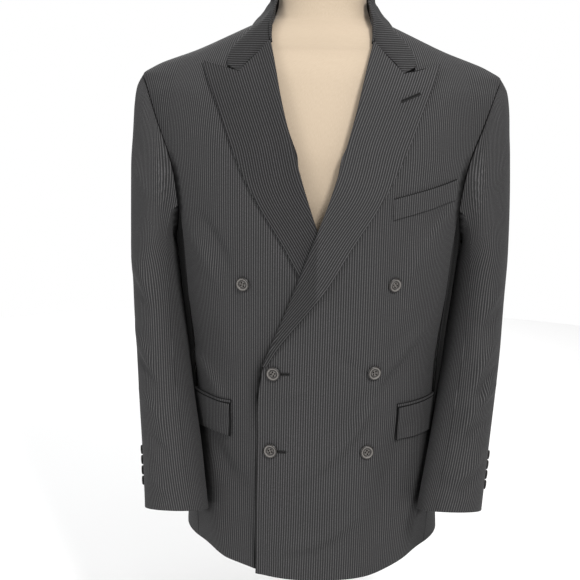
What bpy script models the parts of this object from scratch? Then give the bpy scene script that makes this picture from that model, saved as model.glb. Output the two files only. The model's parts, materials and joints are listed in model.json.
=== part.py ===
"""A double breasted blazer on a limbless dress form.

The blazer is built the way it is cut: two fronts, two side panels, two backs, two-piece
sleeves, lapels, collar, breast welt, pocket jets and flaps, and buttons. Every cloth piece is
a wall with a real thickness, laid on one figure whose cross sections are listed below.
The wearer's left is +X, the front faces -Y and +Z is up. The base stands on Z = 0.
Heights in the tables are above the hem, and angles are in degrees from the centre front.
"""
import math

import bmesh
import bpy
from mathutils import Matrix, Vector

# ---- driving dimensions, in metres and degrees ----
HEM_HEIGHT = 0.200          # hem of the blazer above the surface the stand rests on
CLOTH = 0.0020              # thickness of the cloth with its canvas and lining
SEAM_GAP = 0.0003           # room between two pieces at a seam
LAYER_GAP = 0.0006          # room between two layers that lie on each other
FRONT_GAP = 0.0011          # room between the two fronts where they overlap
FLAP_GAP = 0.0009           # room under a pocket flap, which spans the side seam
ARMHOLE_GAP = 0.0008        # room between a panel's armhole edge and the sleeve

EDGE_OVERLAP = 0.0755       # each front reaches this far past the centre line
HEM_STEP = 0.0090           # the under front is this much shorter at its free edge
BREAK_HEIGHT = 0.300        # height where the lapel starts to turn
BREAK_EASE = 0.050          # length over which the free edge bends into the roll line
NECKLINE_HEIGHT = 0.765     # height of the neck seam
NECKLINE_ANGLE = 60.0       # where the front neckline leaves the roll line
NECK_TURN = 0.750           # height where the free edge starts to turn round the neck
SHOULDER_HEIGHT = 0.688     # height of the shoulder point

COLUMNS_ACROSS_FRONT = 9
COLUMNS_ACROSS_BACK = 7
SHOULDER_ROWS = 5           # rows between the shoulder point and the neck seam
BODY_LEVELS = (0.0, 0.030, 0.075, 0.125, 0.180, 0.235, BREAK_HEIGHT, 0.345, 0.390, 0.435, 0.475)

# Cross sections of the figure inside the blazer, measured to the inner face of the cloth.
# Fullness is how much squarer than an ellipse a section is.
BODY = {
    "height":      (0.000, 0.120, 0.220, 0.300, 0.380, 0.455, 0.520, 0.590, 0.650, 0.688,
                    0.7135, 0.740, 0.765),
    "half_width":  (0.190, 0.185, 0.1805, 0.184, 0.195, 0.204, 0.216, 0.232, 0.245, 0.250,
                    0.1900, 0.1295, 0.0725),
    "front_depth": (0.163, 0.158, 0.150, 0.144, 0.143, 0.147, 0.146, 0.138, 0.122, 0.103,
                    0.088, 0.077, 0.062),
    "back_depth":  (0.152, 0.150, 0.140, 0.130, 0.132, 0.142, 0.147, 0.143, 0.130, 0.112,
                    0.097, 0.084, 0.068),
    "fullness":    (-0.050, 0.012, 0.028, 0.030, 0.030, 0.030, 0.030, 0.030, 0.030, 0.030,
                    0.030, 0.030, 0.030),
}

# The shoulder rolls over to the chest and the back on a radius that fades at the armhole.
SHOULDER_ROLL = {"reach": 0.026, "spread": 0.034, "fade": 8}

# How far the hem curves up towards the sides.
HEM = {
    "angle": (0.0, 25.0, 42.0, 60.0, 90.0, 125.0, 180.0),
    "rise":  (-0.003, -0.003, 0.003, 0.014, 0.012, 0.004, 0.000),
}
HEM_REACH = 0.060           # height over which the curve of the hem fades

# Seams that run down the body, as angles at each height.
SIDE_SEAMS = {
    "height":      (0.000, 0.200, 0.350, 0.508),
    "front_angle": (64.0, 66.0, 66.0, 62.0),
    "back_angle":  (122.0, 120.0, 119.0, 122.0),
}

# Armhole, by the clock seen from the side: 0 at the shoulder point, 90 at the front.
ARMHOLE = {
    "clock":  (0.0, 30.0, 60.0, 90.0, 120.0, 150.0, 180.0, 210.0, 240.0, 270.0, 300.0, 330.0, 360.0),
    "angle":  (90.0, 74.0, 65.5, 60.0, 62.0, 74.0, 92.0, 108.0, 122.0, 124.0, 119.5, 108.5, 90.0),
    "height": (0.688, 0.667, 0.618, 0.560, 0.508, 0.468, 0.455, 0.470, 0.512, 0.566, 0.622, 0.669, 0.688),
}
ARMHOLE_STEPS = 24          # points round an armhole, shared by panels and sleeve
FRONT_SEAM_CLOCK = 120.0    # armhole clock where the front side seam arrives
BACK_SEAM_CLOCK = 240.0     # armhole clock where the back side seam arrives
ARMHOLE_HUB = (90.0, 0.570) # angle and height of the middle of the armhole

# The top front rises over what it covers, between two distances past the centre line.
RISE_OVER_FRONT = {"full": 0.0795, "gone": 0.1205}
RISE_OVER_LAPEL = {"full": 0.0695, "gone": 0.1105, "starts": 0.250, "whole": 0.296}
RISE_FADES = {"starts": 0.500, "gone": 0.620}

# Roll line and outer edge of a lapel, as distances from the centre line to its own side.
LAPEL = {
    "height": (0.300, 0.333, 0.382, 0.420, 0.460, 0.500, 0.545, 0.588, 0.627, 0.665,
               0.702, 0.729, 0.757, 0.765),
    "roll":  (-0.0675, -0.0550, -0.0365, -0.0230, -0.0085, 0.0060, 0.0210, 0.0340, 0.0450, 0.0540,
               0.0620, 0.0680, 0.0655, 0.0580),
    "edge":   (-0.0625, -0.0440, -0.0075, 0.0180, 0.0410, 0.0660, 0.0930, 0.1130, 0.1280, 0.1430,
               0.1580, 0.1580, 0.1580, 0.1580),
}
GORGE = {"top": (0.0680, 0.729), "notch": (0.1080, 0.689), "peak": (0.1580, 0.702)}
NOTCH_SHARE = 0.55          # share of the lapel's top edge that lies along the gorge
GORGE_PULL = 5.0            # how quickly the notch fades down the lapel
GORGE_GAP = 0.00045         # room between the lapel's top edge and the collar
LAPEL_ROWS = 14
LAPEL_SHARES = (0.0, 0.07, 0.24, 0.40, 0.55, 0.78, 1.0)
LAPEL_ROLL = 0.0030         # how far the fold of a lapel stands out at the roll line
LAPEL_ROLL_SHARE = 0.30     # share of the lapel's width over which the fold fades
LAPEL_ROLL_LENGTH = 0.100   # length over which the fold grows to its full size
PEAK_LIFT = 0.0028          # how far the lapel's upper end stands off the shoulder
PEAK_LIFTS = {"starts": 0.620, "whole": 0.690}
CROSSING_HEIGHT = 0.485     # height where the two roll lines cross

# Stations round the collar, from its front end to the centre back.
COLLAR = {
    "station":     (0.0, 1.0, 2.0, 3.0, 4.0, 5.0, 6.0, 7.0),
    "seam_angle":  (25.0, 33.0, 44.0, 62.0, 90.0, 120.0, 150.0, 180.0),
    "seam_height": (0.7300, 0.7440, 0.7560, 0.7650, 0.7660, 0.7660, 0.7660, 0.7660),
    "leaf_angle":  (33.5, 40.0, 47.0, 64.0, 90.0, 119.0, 149.0, 180.0),
    "leaf_height": (0.6975, 0.7140, 0.7290, 0.7495, 0.7530, 0.7500, 0.7460, 0.7440),
    "rise":        (0.0060, 0.0120, 0.0180, 0.0260, 0.0300, 0.0320, 0.0340, 0.0340),
}
COLLAR_STEPS = 12           # steps from the front end to the centre back
COLLAR_ROLL_RADIUS = 0.0027
COLLAR_ROLL_TURN = (180.0, 135.0, 90.0, 45.0, 0.0)
COLLAR_LEAN = 0.0040        # how far the top of the stand leans towards the neck
COLLAR_SWELL = {"out": 0.016, "up": 0.012}
FALL_SHARES = (0.22, 0.42, 0.62, 0.81, 1.0)
GORGE_REACH = 3.0           # stations over which the collar's notched end straightens
COLLAR_NOTCH_SHARE = 0.62   # share of the collar's front end that lies along the gorge

# Cross sections of a hanging sleeve, from the cuff up to the armhole. Tilt raises the front.
# Sway moves each sleeve away from the body and drop lowers it, as the two hang differently.
SLEEVE = {
    "height":     (0.095, 0.160, 0.235, 0.310, 0.380, 0.430),
    "centre_x":   (0.1955, 0.2055, 0.2165, 0.2245, 0.2295, 0.2320),
    "centre_y":   (-0.132, -0.099, -0.058, -0.024, -0.002, 0.004),
    "half_width": (0.0450, 0.0430, 0.0410, 0.0400, 0.0400, 0.0410),
    "half_depth": (0.0480, 0.0530, 0.0610, 0.0700, 0.0780, 0.0820),
    "tilt":       (0.34, 0.32, 0.27, 0.20, 0.10, 0.00),
    "back_seam":  (-14.0, -24.0, -38.0, -52.0, -66.0, -75.0),
    "front_seam": (122.0, 121.0, 120.0, 120.0, 120.0, 120.0),
    "left_sway":  (-0.0030, -0.0005, 0.0020, 0.0045, 0.0045, 0.0035),
    "right_sway": (-0.0045, -0.0050, -0.0030, -0.0010, 0.0000, 0.0000),
    "left_drop":  (0.0, 0.0, 0.0, 0.0, 0.0, 0.0),
    "right_drop": (0.0090, 0.0060, 0.0030, 0.0, 0.0, 0.0),
}
SLEEVE_BOTTOM = SLEEVE["height"][0]
SLEEVE_TOP = SLEEVE["height"][-1]
SLEEVE_LENGTH = SLEEVE_TOP - SLEEVE_BOTTOM
SLEEVE_STEPS = 8            # rings below the armhole's depth
TOP_SLEEVE_COLUMNS = 13
UNDER_SLEEVE_COLUMNS = 11
SLEEVE_SEAM_TURN = 0.17     # half the room at a sleeve seam, in degrees round the arm

# A sleeve stays clear of the figure: further below, where a pocket flap lies between them.
SLEEVE_CLEARANCE = {"below": 0.0065, "above": 0.0040, "starts": 0.250, "whole": 0.285}
SLEEVE_SOFTNESS = 0.0036    # how softly its inner side gives way to the body

# Sleeve cap: how far it leaves the armhole before it drops, and how it turns over.
CAP_STEPS = 5
CAP = {"reach": 0.018, "reach_below": 0.6, "spread": 0.45, "droop": 0.12, "turn": 0.125, "turn_share": 0.55}

# Soft folds of the cloth on the body: where they run and how far they stand out.
BODY_FOLDS = (
    {"angle": 44.0, "height": 0.430, "length": 0.110, "width": 0.016, "depth": 0.0035, "lean": 0.45},
    {"angle": -47.0, "height": 0.405, "length": 0.120, "width": 0.017, "depth": 0.0028, "lean": -0.35},
    {"angle": 150.0, "height": 0.380, "length": 0.120, "width": 0.022, "depth": 0.0040, "lean": 0.30},
    {"angle": -152.0, "height": 0.370, "length": 0.110, "width": 0.020, "depth": 0.0035, "lean": -0.30},
    {"angle": 140.0, "height": 0.060, "length": 0.110, "width": 0.026, "depth": 0.0045, "lean": 0.05},
    {"angle": -138.0, "height": 0.055, "length": 0.105, "width": 0.026, "depth": 0.0040, "lean": -0.05},
)

# Outlines of the pockets on a front: distances from the centre line, angles and heights.
WELT = {"inner_x": 0.0985, "outer_x": 0.1850, "inner_top": 0.5310, "outer_top": 0.5545, "depth": 0.0280}
FLAP = {"front_angle": 37.5, "back_angle": 82.0, "top": 0.2400, "depth": 0.0470, "jet": 0.0050}
FLAP_GRID = (9, 3)          # cells of each pocket piece: along it, and up it
JET_GRID = (9, 1)
WELT_GRID = (6, 2)

# Front buttons: own front, distance from the centre line to the wearer's left, height.
FRONT_BUTTONS = (
    {"front": "right", "x": -0.0985, "height": 0.4115},
    {"front": "left", "x": 0.1035, "height": 0.4150},
    {"front": "left", "x": -0.0540, "height": 0.2915},
    {"front": "left", "x": 0.0785, "height": 0.2945},
    {"front": "left", "x": -0.0570, "height": 0.1820},
    {"front": "left", "x": 0.0725, "height": 0.1825},
)
BUTTON_RADIUS = 0.0100
CUFF_BUTTON_RADIUS = 0.0066
CUFF_BUTTONS = 4
CUFF_BUTTON_STEP = 0.0124   # height between two cuff buttons
CUFF_BUTTON_CLOCK = 3.0     # the cuff buttons sit on the outer side, ahead of the back seam
FIRST_CUFF_BUTTON = 0.032   # height of the lowest cuff button above the cuff
BUTTON_SEGMENTS = 16
BUTTON_THICKNESS = 0.36     # thickness of a button, as a share of its radius
SEAT_ROOM = 0.00005         # extra room under a front button for the flat facets of the cloth
# Half section of a dished button: shares of its radius and of its thickness.
BUTTON_PROFILE = ((0.0, 0.62), (0.60, 0.62), (0.78, 1.0), (0.92, 0.92), (1.0, 0.55), (0.86, 0.0), (0.0, 0.0))
# Places round a button, as shares of its radius, where it feels the cloth under it.
BUTTON_FEELERS = ((1, 0), (-1, 0), (0, 1), (0, -1), (0.7, 0.7), (-0.7, 0.7), (0.7, -0.7), (-0.7, -0.7))

# Cross sections of the dress form, from its flat underside to the top of its neck.
FORM = {
    "height":      (0.045, 0.120, 0.220, 0.300, 0.380, 0.455, 0.520, 0.590, 0.640, 0.672, 0.692, 0.704,
                    0.7125, 0.726, 0.740, 0.752, 0.765, 0.785, 0.815, 0.850),
    "half_width":  (0.166, 0.168, 0.160, 0.156, 0.164, 0.176, 0.188, 0.199, 0.204, 0.206, 0.203, 0.196,
                    0.1880, 0.1590, 0.1268, 0.0960, 0.0680, 0.0610, 0.0600, 0.0600),
    "front_depth": (0.113, 0.116, 0.113, 0.112, 0.120, 0.130, 0.131, 0.125, 0.113, 0.103, 0.096, 0.090,
                    0.0850, 0.0795, 0.0740, 0.0665, 0.0590, 0.0565, 0.0560, 0.0560),
    "back_depth":  (0.134, 0.136, 0.126, 0.115, 0.117, 0.127, 0.132, 0.129, 0.119, 0.112, 0.105, 0.099,
                    0.0940, 0.0875, 0.0810, 0.0730, 0.0640, 0.0610, 0.0600, 0.0600),
}
FORM_FULLNESS = 0.030
FORM_SEGMENTS = 32
NECK_ROUNDING = 0.010
FORM_BOTTOM = HEM_HEIGHT + FORM["height"][0]

# Stand: half sections as (radius, height), from the top down to the axis.
BASE_TOP = 0.016
BASE_PROFILE = ((0.0, BASE_TOP), (0.040, BASE_TOP), (0.148, 0.010), (0.160, 0.004), (0.160, 0.0), (0.0, 0.0))
POST_PROFILE = (
    (0.0, FORM_BOTTOM - SEAM_GAP), (0.050, FORM_BOTTOM - SEAM_GAP), (0.050, FORM_BOTTOM - 0.006),
    (0.014, FORM_BOTTOM - 0.010), (0.014, BASE_TOP + 0.030), (0.024, BASE_TOP + 0.022),
    (0.028, BASE_TOP + SEAM_GAP), (0.0, BASE_TOP + SEAM_GAP),
)
POST_SEGMENTS = 24
BASE_SEGMENTS = 40

SMOOTH_BELOW = 35.0         # edges that turn less than this are shaded smooth
SLOPE_ANGLE = 0.5           # steps in angle and height over which a slope is read
SLOPE_HEIGHT = 0.001
SIDES = {"left": 1.0, "right": -1.0}

# Surface finishes: colour, roughness and metal.
WOOL = ((0.060, 0.060, 0.064), 0.85, 0.0)
HORN = ((0.060, 0.048, 0.042), 0.30, 0.0)
LINEN = ((0.62, 0.54, 0.42), 0.80, 0.0)
STEEL = ((0.030, 0.030, 0.032), 0.40, 0.8)


def clear_scene():
    for thing in list(bpy.data.objects):
        bpy.data.objects.remove(thing, do_unlink=True)


def finish(name, colour, roughness, metallic):
    """A plain surface finish."""
    material = bpy.data.materials.new(name)
    material.use_nodes = True
    shader = material.node_tree.nodes["Principled BSDF"]
    shader.inputs["Base Color"].default_value = (*colour, 1.0)
    shader.inputs["Roughness"].default_value = roughness
    shader.inputs["Metallic"].default_value = metallic
    return material


# ---- reading the tables ----
def along(table, column, place):
    """Value of a column at a place in the table's first column, on a curve with no overshoot."""
    places = next(iter(table.values()))
    values = table[column]
    last = len(places) - 1
    place = min(max(place, places[0]), places[last])
    index = max(i for i in range(last) if places[i] <= place)
    runs = [places[i + 1] - places[i] for i in range(last)]
    slopes = [(values[i + 1] - values[i]) / runs[i] for i in range(last)]

    def tangent(i):
        if i == 0:
            return slopes[0]
        if i == last:
            return slopes[-1]
        before, after = slopes[i - 1], slopes[i]
        if before * after <= 0.0:
            return 0.0
        return 2.0 * before * after / (before + after)

    share = (place - places[index]) / runs[index]
    start, end = values[index], values[index + 1]
    lean_in = tangent(index) * runs[index]
    lean_out = tangent(index + 1) * runs[index]
    square, cube = share * share, share * share * share
    return (
        start * (2 * cube - 3 * square + 1)
        + lean_in * (cube - 2 * square + share)
        + end * (3 * square - 2 * cube)
        + lean_out * (cube - square)
    )


def ramp(value, start, end):
    """0 before start, 1 after end, and smooth between them."""
    share = min(max((value - start) / (end - start), 0.0), 1.0)
    return share * share * (3.0 - 2.0 * share)


def spread(start, end, steps):
    """Evenly spaced values from start to end."""
    return [start + (end - start) * i / steps for i in range(steps + 1)]


def between(start, end, share):
    """Point at a share of the way from one tuple of numbers to another."""
    return tuple(a + (b - a) * share for a, b in zip(start, end))


# ---- the figure that every body panel is laid on ----
def fold_depth(angle, height):
    """How far the soft folds lift the cloth."""
    depth = 0.0
    girth = along(BODY, "half_width", height)
    for fold in BODY_FOLDS:
        rise = height - fold["height"]
        across = math.radians(angle - fold["angle"]) * girth - rise * fold["lean"]
        depth += fold["depth"] * math.exp(-((rise / fold["length"]) ** 2) - (across / fold["width"]) ** 2)
    return depth


def girth_at(turn, height):
    """Half width of the figure, rounded off over the front and back of the shoulder."""
    plain = along(BODY, "half_width", height)
    reach = SHOULDER_ROLL["reach"]
    rounded = sum(along(BODY, "half_width", height + step) for step in (-reach, 0.0, reach)) / 3.0
    near = math.exp(-(((height - SHOULDER_HEIGHT) / SHOULDER_ROLL["spread"]) ** 2))
    return plain + (rounded - plain) * near * (1.0 - math.sin(turn) ** SHOULDER_ROLL["fade"])


def figure(angle, height):
    """Point on the inner face of the cloth."""
    turn = math.radians(angle)
    column = "front_depth" if math.cos(turn) > 0.0 else "back_depth"
    swell = 1.0 + along(BODY, "fullness", height) * math.sin(2.0 * turn) ** 2
    grow = fold_depth(angle, height)
    half_width = girth_at(turn, height) * swell + grow
    depth = along(BODY, column, height) * swell + grow
    rise = along(HEM, "rise", abs(angle)) * (1.0 - ramp(height, 0.0, HEM_REACH))
    return Vector((half_width * math.sin(turn), -depth * math.cos(turn), HEM_HEIGHT + height + rise))


def surface_normal(surface, u, v, step_u, step_v):
    """Unit normal of a surface, which points away from its inner side."""
    across = surface(u + step_u, v) - surface(u - step_u, v)
    up = surface(u, v + step_v) - surface(u, v - step_v)
    return across.cross(up).normalized()


def on_figure(angle, height, lift):
    """Point on the figure, moved out along its normal."""
    safe_height = min(max(height, SLOPE_HEIGHT), NECKLINE_HEIGHT - SLOPE_HEIGHT)
    normal = surface_normal(figure, angle, safe_height, SLOPE_ANGLE, SLOPE_HEIGHT)
    return figure(angle, height) + normal * lift


def angle_at(x, height):
    """Angle on the front of the figure at a distance from the centre line."""
    low, high = -90.0, 90.0
    for _ in range(40):
        middle = (low + high) / 2.0
        if figure(middle, height).x < x:
            low = middle
        else:
            high = middle
    return (low + high) / 2.0


def shift_angle(height, distance):
    """Angle that a short distance along the cloth spans."""
    return math.degrees(distance / along(BODY, "half_width", height))


# ---- walls ----
def link(name, mesh, material):
    thing = bpy.data.objects.new(name, mesh)
    thing.data.materials.append(material)
    bpy.context.collection.objects.link(thing)
    return thing


def mesh_from(bm, name):
    bmesh.ops.recalc_face_normals(bm, faces=bm.faces)
    if bm.calc_volume(signed=True) < 0.0:
        bmesh.ops.reverse_faces(bm, faces=bm.faces)
    mesh = bpy.data.meshes.new(name)
    bm.to_mesh(mesh)
    bm.free()
    mesh.shade_smooth()
    mesh.set_sharp_from_angle(angle=math.radians(SMOOTH_BELOW))
    return mesh


def wall(name, inner_rows, outer_rows, material):
    """Closed wall between two matching grids of points: an inner and an outer face."""
    rows, columns = len(inner_rows) - 1, len(inner_rows[0]) - 1
    middle = Vector((columns / 2.0, rows / 2.0, 0.0))
    place = Matrix.Translation(middle) @ Matrix.Diagonal((columns / 2.0, rows / 2.0, 1.0, 1.0))
    bm = bmesh.new()
    bmesh.ops.create_grid(bm, x_segments=columns, y_segments=rows, size=1.0, matrix=place)
    grown = bmesh.ops.extrude_face_region(bm, geom=bm.faces[:])
    for item in grown["geom"]:
        if isinstance(item, bmesh.types.BMVert):
            item.co.z = 1.0
    layers = (inner_rows, outer_rows)
    for vert in bm.verts:
        column, row, layer = (round(value) for value in vert.co)
        vert.co = layers[layer][row][column]
    return link(name, mesh_from(bm, name), material)


def panel(name, side, places, lift, material):
    """Wall of cloth laid on the figure, from rows of (angle, height) places."""
    faces = []
    for extra in (0.0, CLOTH):
        faces.append([
            [on_figure(angle * side, height, lift(angle, height) + extra) for angle, height in row]
            for row in places
        ])
    return wall(name, faces[0], faces[1], material)


# ---- armhole ----
def armhole_place(clock):
    """Angle and height of the armhole at a clock position."""
    return along(ARMHOLE, "angle", clock % 360.0), along(ARMHOLE, "height", clock % 360.0)


def armhole_clocks(start, end):
    count = round((end - start) * ARMHOLE_STEPS / 360.0)
    return spread(start, end, count)


# ---- fronts, sides and backs ----
def left_front_lift(angle, height):
    """The left front rises over the right front and, on the chest, over its lapel."""
    x = figure(angle, height).x
    layer = CLOTH + FRONT_GAP
    over_front = 1.0 - ramp(x, RISE_OVER_FRONT["full"], RISE_OVER_FRONT["gone"])
    over_lapel = 1.0 - ramp(x, RISE_OVER_LAPEL["full"], RISE_OVER_LAPEL["gone"])
    over_lapel *= ramp(height, RISE_OVER_LAPEL["starts"], RISE_OVER_LAPEL["whole"])
    below_shoulder = 1.0 - ramp(height, RISE_FADES["starts"], RISE_FADES["gone"])
    return (over_front * layer + over_lapel * (layer + LAYER_GAP)) * below_shoulder


def no_lift(angle, height):
    return 0.0


FRONT_LIFT = {"left": left_front_lift, "right": no_lift}


def front_edge_angle(height):
    """Angle of a front's free edge: straight to the break, up the roll line, round the neck."""
    if height <= BREAK_HEIGHT:
        turned = ramp(height, BREAK_HEIGHT - BREAK_EASE, BREAK_HEIGHT)
        return angle_at((EDGE_OVERLAP + LAPEL["roll"][0]) * turned - EDGE_OVERLAP, height)
    roll = angle_at(along(LAPEL, "roll", height), height)
    return roll + (NECKLINE_ANGLE - roll) * ramp(height, NECK_TURN, NECKLINE_HEIGHT)


def shoulder_levels():
    """Heights of the rows above the shoulder point."""
    return spread(SHOULDER_HEIGHT, NECKLINE_HEIGHT, SHOULDER_ROWS)[1:]


def front_places(side_name):
    """Rows of a front, from its free edge to the side seam, the armhole and the shoulder."""
    ends = []
    for height in BODY_LEVELS + (armhole_place(FRONT_SEAM_CLOCK)[1],):
        ends.append((along(SIDE_SEAMS, "front_angle", height) - shift_angle(height, SEAM_GAP / 2), height))
    for clock in reversed(armhole_clocks(0.0, FRONT_SEAM_CLOCK)[:-1]):
        angle, height = armhole_place(clock)
        ends.append((angle - shift_angle(height, SEAM_GAP), height))
    for height in shoulder_levels():
        ends.append((90.0 - shift_angle(height, SEAM_GAP / 2), height))
    rows = []
    for angle, height in ends:
        hem_step = HEM_STEP if side_name == "right" and height == 0.0 else 0.0
        start = (front_edge_angle(height), height + hem_step)
        rows.append([between(start, (angle, height), i / COLUMNS_ACROSS_FRONT)
                     for i in range(COLUMNS_ACROSS_FRONT + 1)])
    return rows


def back_places():
    """Rows of a back, from the side seam, the armhole and the shoulder to the centre seam."""
    starts = []
    for height in BODY_LEVELS + (armhole_place(BACK_SEAM_CLOCK)[1],):
        starts.append((along(SIDE_SEAMS, "back_angle", height) + shift_angle(height, SEAM_GAP / 2), height))
    for clock in armhole_clocks(BACK_SEAM_CLOCK, 360.0)[1:]:
        angle, height = armhole_place(clock)
        starts.append((angle + shift_angle(height, SEAM_GAP), height))
    for height in shoulder_levels():
        starts.append((90.0 + shift_angle(height, SEAM_GAP / 2), height))
    rows = []
    for angle, height in starts:
        centre = 180.0 - shift_angle(height, SEAM_GAP / 2)
        rows.append([(across, height) for across in spread(angle, centre, COLUMNS_ACROSS_BACK)])
    return rows


def side_places():
    """Side panel under the arm: its top follows the bottom of the armhole."""
    tops = [armhole_place(clock) for clock in armhole_clocks(FRONT_SEAM_CLOCK, BACK_SEAM_CLOCK)]
    full = tops[0][1]
    rows = []
    for level in BODY_LEVELS + (full,):
        start = along(SIDE_SEAMS, "front_angle", level) + shift_angle(level, SEAM_GAP / 2)
        end = along(SIDE_SEAMS, "back_angle", level) - shift_angle(level, SEAM_GAP / 2)
        row = []
        for top_angle, top_height in tops:
            across = (top_angle - tops[0][0]) / (tops[-1][0] - tops[0][0])
            row.append((start + (end - start) * across, (top_height - SEAM_GAP) * level / full))
        rows.append(row)
    return rows


# ---- lapels ----
def lapel_outline(share_up):
    """Roll point and edge point of a lapel, as (x, height), at a share of its length."""
    roll_height = BREAK_HEIGHT + (GORGE["top"][1] - BREAK_HEIGHT) * share_up
    edge_height = BREAK_HEIGHT + (GORGE["peak"][1] - BREAK_HEIGHT) * share_up
    return (along(LAPEL, "roll", roll_height), roll_height), (along(LAPEL, "edge", edge_height), edge_height)


def gorge_point(share):
    """Point of a lapel's top edge: along the gorge to the notch, then up to the peak."""
    if share <= NOTCH_SHARE:
        return between(GORGE["top"], GORGE["notch"], share / NOTCH_SHARE)
    return between(GORGE["notch"], GORGE["peak"], (share - NOTCH_SHARE) / (1.0 - NOTCH_SHARE))


def lapel_place(up, share):
    """Place on a lapel as (x, height): up from the break, and across from the roll line."""
    plain = between(*lapel_outline(up), share)
    top_plain = between(*lapel_outline(1.0), share)
    pull = up ** GORGE_PULL
    return tuple(p + (t - q) * pull for p, t, q in zip(plain, gorge_point(share), top_plain))


def lapel_lift(side_name, angle, height, share):
    """A lapel lies on its front, and its fold swells at the roll line."""
    free_from = BREAK_HEIGHT if side_name == "left" else CROSSING_HEIGHT
    roll = LAPEL_ROLL * (1.0 - ramp(share, 0.0, LAPEL_ROLL_SHARE))
    roll *= ramp(height, free_from, free_from + LAPEL_ROLL_LENGTH)
    peak = PEAK_LIFT * ramp(height, PEAK_LIFTS["starts"], PEAK_LIFTS["whole"])
    return FRONT_LIFT[side_name](angle, height) + CLOTH + LAYER_GAP + roll + peak


def build_lapel(side_name, material):
    side = SIDES[side_name]
    inner_rows, outer_rows = [], []
    for up in spread(0.0, 1.0, LAPEL_ROWS):
        inner, outer = [], []
        for share in LAPEL_SHARES:
            x, height = lapel_place(up, share)
            height -= GORGE_GAP * ramp(height, PEAK_LIFTS["starts"], PEAK_LIFTS["whole"])
            angle = angle_at(x, height)
            base = lapel_lift(side_name, angle, height, share)
            inner.append(on_figure(angle * side, height, base))
            outer.append(on_figure(angle * side, height, base + CLOTH))
        inner_rows.append(inner)
        outer_rows.append(outer)
    wall("lapel_" + side_name, inner_rows, outer_rows, material)


# ---- collar ----
def collar_end(share):
    """Point of the collar's front end, along the gorge and then the notch edge."""
    corner = (COLLAR["leaf_angle"][0], COLLAR["leaf_height"][0])
    notch = (angle_at(*GORGE["notch"]), GORGE["notch"][1])
    top = (angle_at(*GORGE["top"]), GORGE["top"][1])
    if share <= COLLAR_NOTCH_SHARE:
        return between(top, notch, share / COLLAR_NOTCH_SHARE)
    return between(notch, corner, (share - COLLAR_NOTCH_SHARE) / (1.0 - COLLAR_NOTCH_SHARE))


def collar_profile(station):
    """Visible side of the collar at one station: up the stand, over the roll, down the fall."""
    seam_angle = along(COLLAR, "seam_angle", station)
    foot = on_figure(seam_angle, along(COLLAR, "seam_height", station), CLOTH + LAYER_GAP)
    turn = math.radians(seam_angle)
    out = Vector((math.sin(turn), -math.cos(turn), 0.0))
    up = Vector((0.0, 0.0, 1.0))
    radius = COLLAR_ROLL_RADIUS
    centre = foot + up * (along(COLLAR, "rise", station) - radius) + out * (radius - COLLAR_LEAN)
    points = [foot, foot.lerp(centre - out * radius, 0.5)]
    for degrees in COLLAR_ROLL_TURN:
        arc = math.radians(degrees)
        points.append(centre + out * radius * math.cos(arc) + up * radius * math.sin(arc))
    start = points[-1]
    edge_lift = CLOTH + LAYER_GAP + CLOTH
    leaf = on_figure(along(COLLAR, "leaf_angle", station), along(COLLAR, "leaf_height", station), edge_lift)
    swell = out * COLLAR_SWELL["out"] + up * COLLAR_SWELL["up"]
    notched = max(0.0, 1.0 - station / GORGE_REACH) ** 2
    for share in FALL_SHARES:
        straight = start.lerp(leaf, share)
        end_point = on_figure(*collar_end(share), edge_lift)
        rounded = straight + swell * share * (1.0 - share) * (1.0 - notched)
        points.append(rounded + (end_point - straight) * notched)
    return points


def build_collar(material):
    """One wall from end to end, mirrored about the centre back."""
    stations = spread(0.0, COLLAR["station"][-1], COLLAR_STEPS)
    half = [collar_profile(station) for station in stations]
    mirrored = [[Vector((-p.x, p.y, p.z)) for p in profile] for profile in reversed(half[:-1])]
    outer_rows = half + mirrored
    inner_rows = []
    for i, profile in enumerate(outer_rows):
        before = outer_rows[max(i - 1, 0)]
        after = outer_rows[min(i + 1, len(outer_rows) - 1)]
        row = []
        for j, point in enumerate(profile):
            along_neck = after[j] - before[j]
            down = profile[min(j + 1, len(profile) - 1)] - profile[max(j - 1, 0)]
            row.append(point + along_neck.cross(down).normalized() * CLOTH)
        inner_rows.append(row)
    wall("collar", inner_rows, outer_rows, material)


# ---- sleeves ----
def body_reach(y, height):
    """Distance of the figure's side from the centre line, at a depth and a height."""
    low, high = 0.0, 180.0
    for _ in range(30):
        middle = (low + high) / 2.0
        if figure(middle, height).y < y:
            low = middle
        else:
            high = middle
    return figure(low, height).x


def sleeve_ring(side_name, clock, height):
    """Point on the outer face of a sleeve below the armhole, by the clock round the arm."""
    turn = math.radians(clock)
    half_depth = along(SLEEVE, "half_depth", height)
    centre_x = along(SLEEVE, "centre_x", height) + along(SLEEVE, side_name + "_sway", height)
    x = centre_x + along(SLEEVE, "half_width", height) * math.cos(turn)
    y = along(SLEEVE, "centre_y", height) - half_depth * math.sin(turn)
    level = height - along(SLEEVE, side_name + "_drop", height)
    level += along(SLEEVE, "tilt", height) * half_depth * math.sin(turn)
    above = ramp(level, SLEEVE_CLEARANCE["starts"], SLEEVE_CLEARANCE["whole"])
    clearance = SLEEVE_CLEARANCE["below"] + (SLEEVE_CLEARANCE["above"] - SLEEVE_CLEARANCE["below"]) * above
    least = body_reach(y, level) + clearance
    outside = (x + least + math.hypot(x - least, SLEEVE_SOFTNESS)) / 2.0
    return Vector((outside, y, HEM_HEIGHT + level))


def armhole_point(clock):
    """Point of the sleeve's upper edge, just inside the armhole."""
    point = on_figure(*armhole_place(clock), CLOTH)
    inward = on_figure(*ARMHOLE_HUB, CLOTH) - point
    inward.x = 0.0
    return point + inward.normalized() * ARMHOLE_GAP


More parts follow.
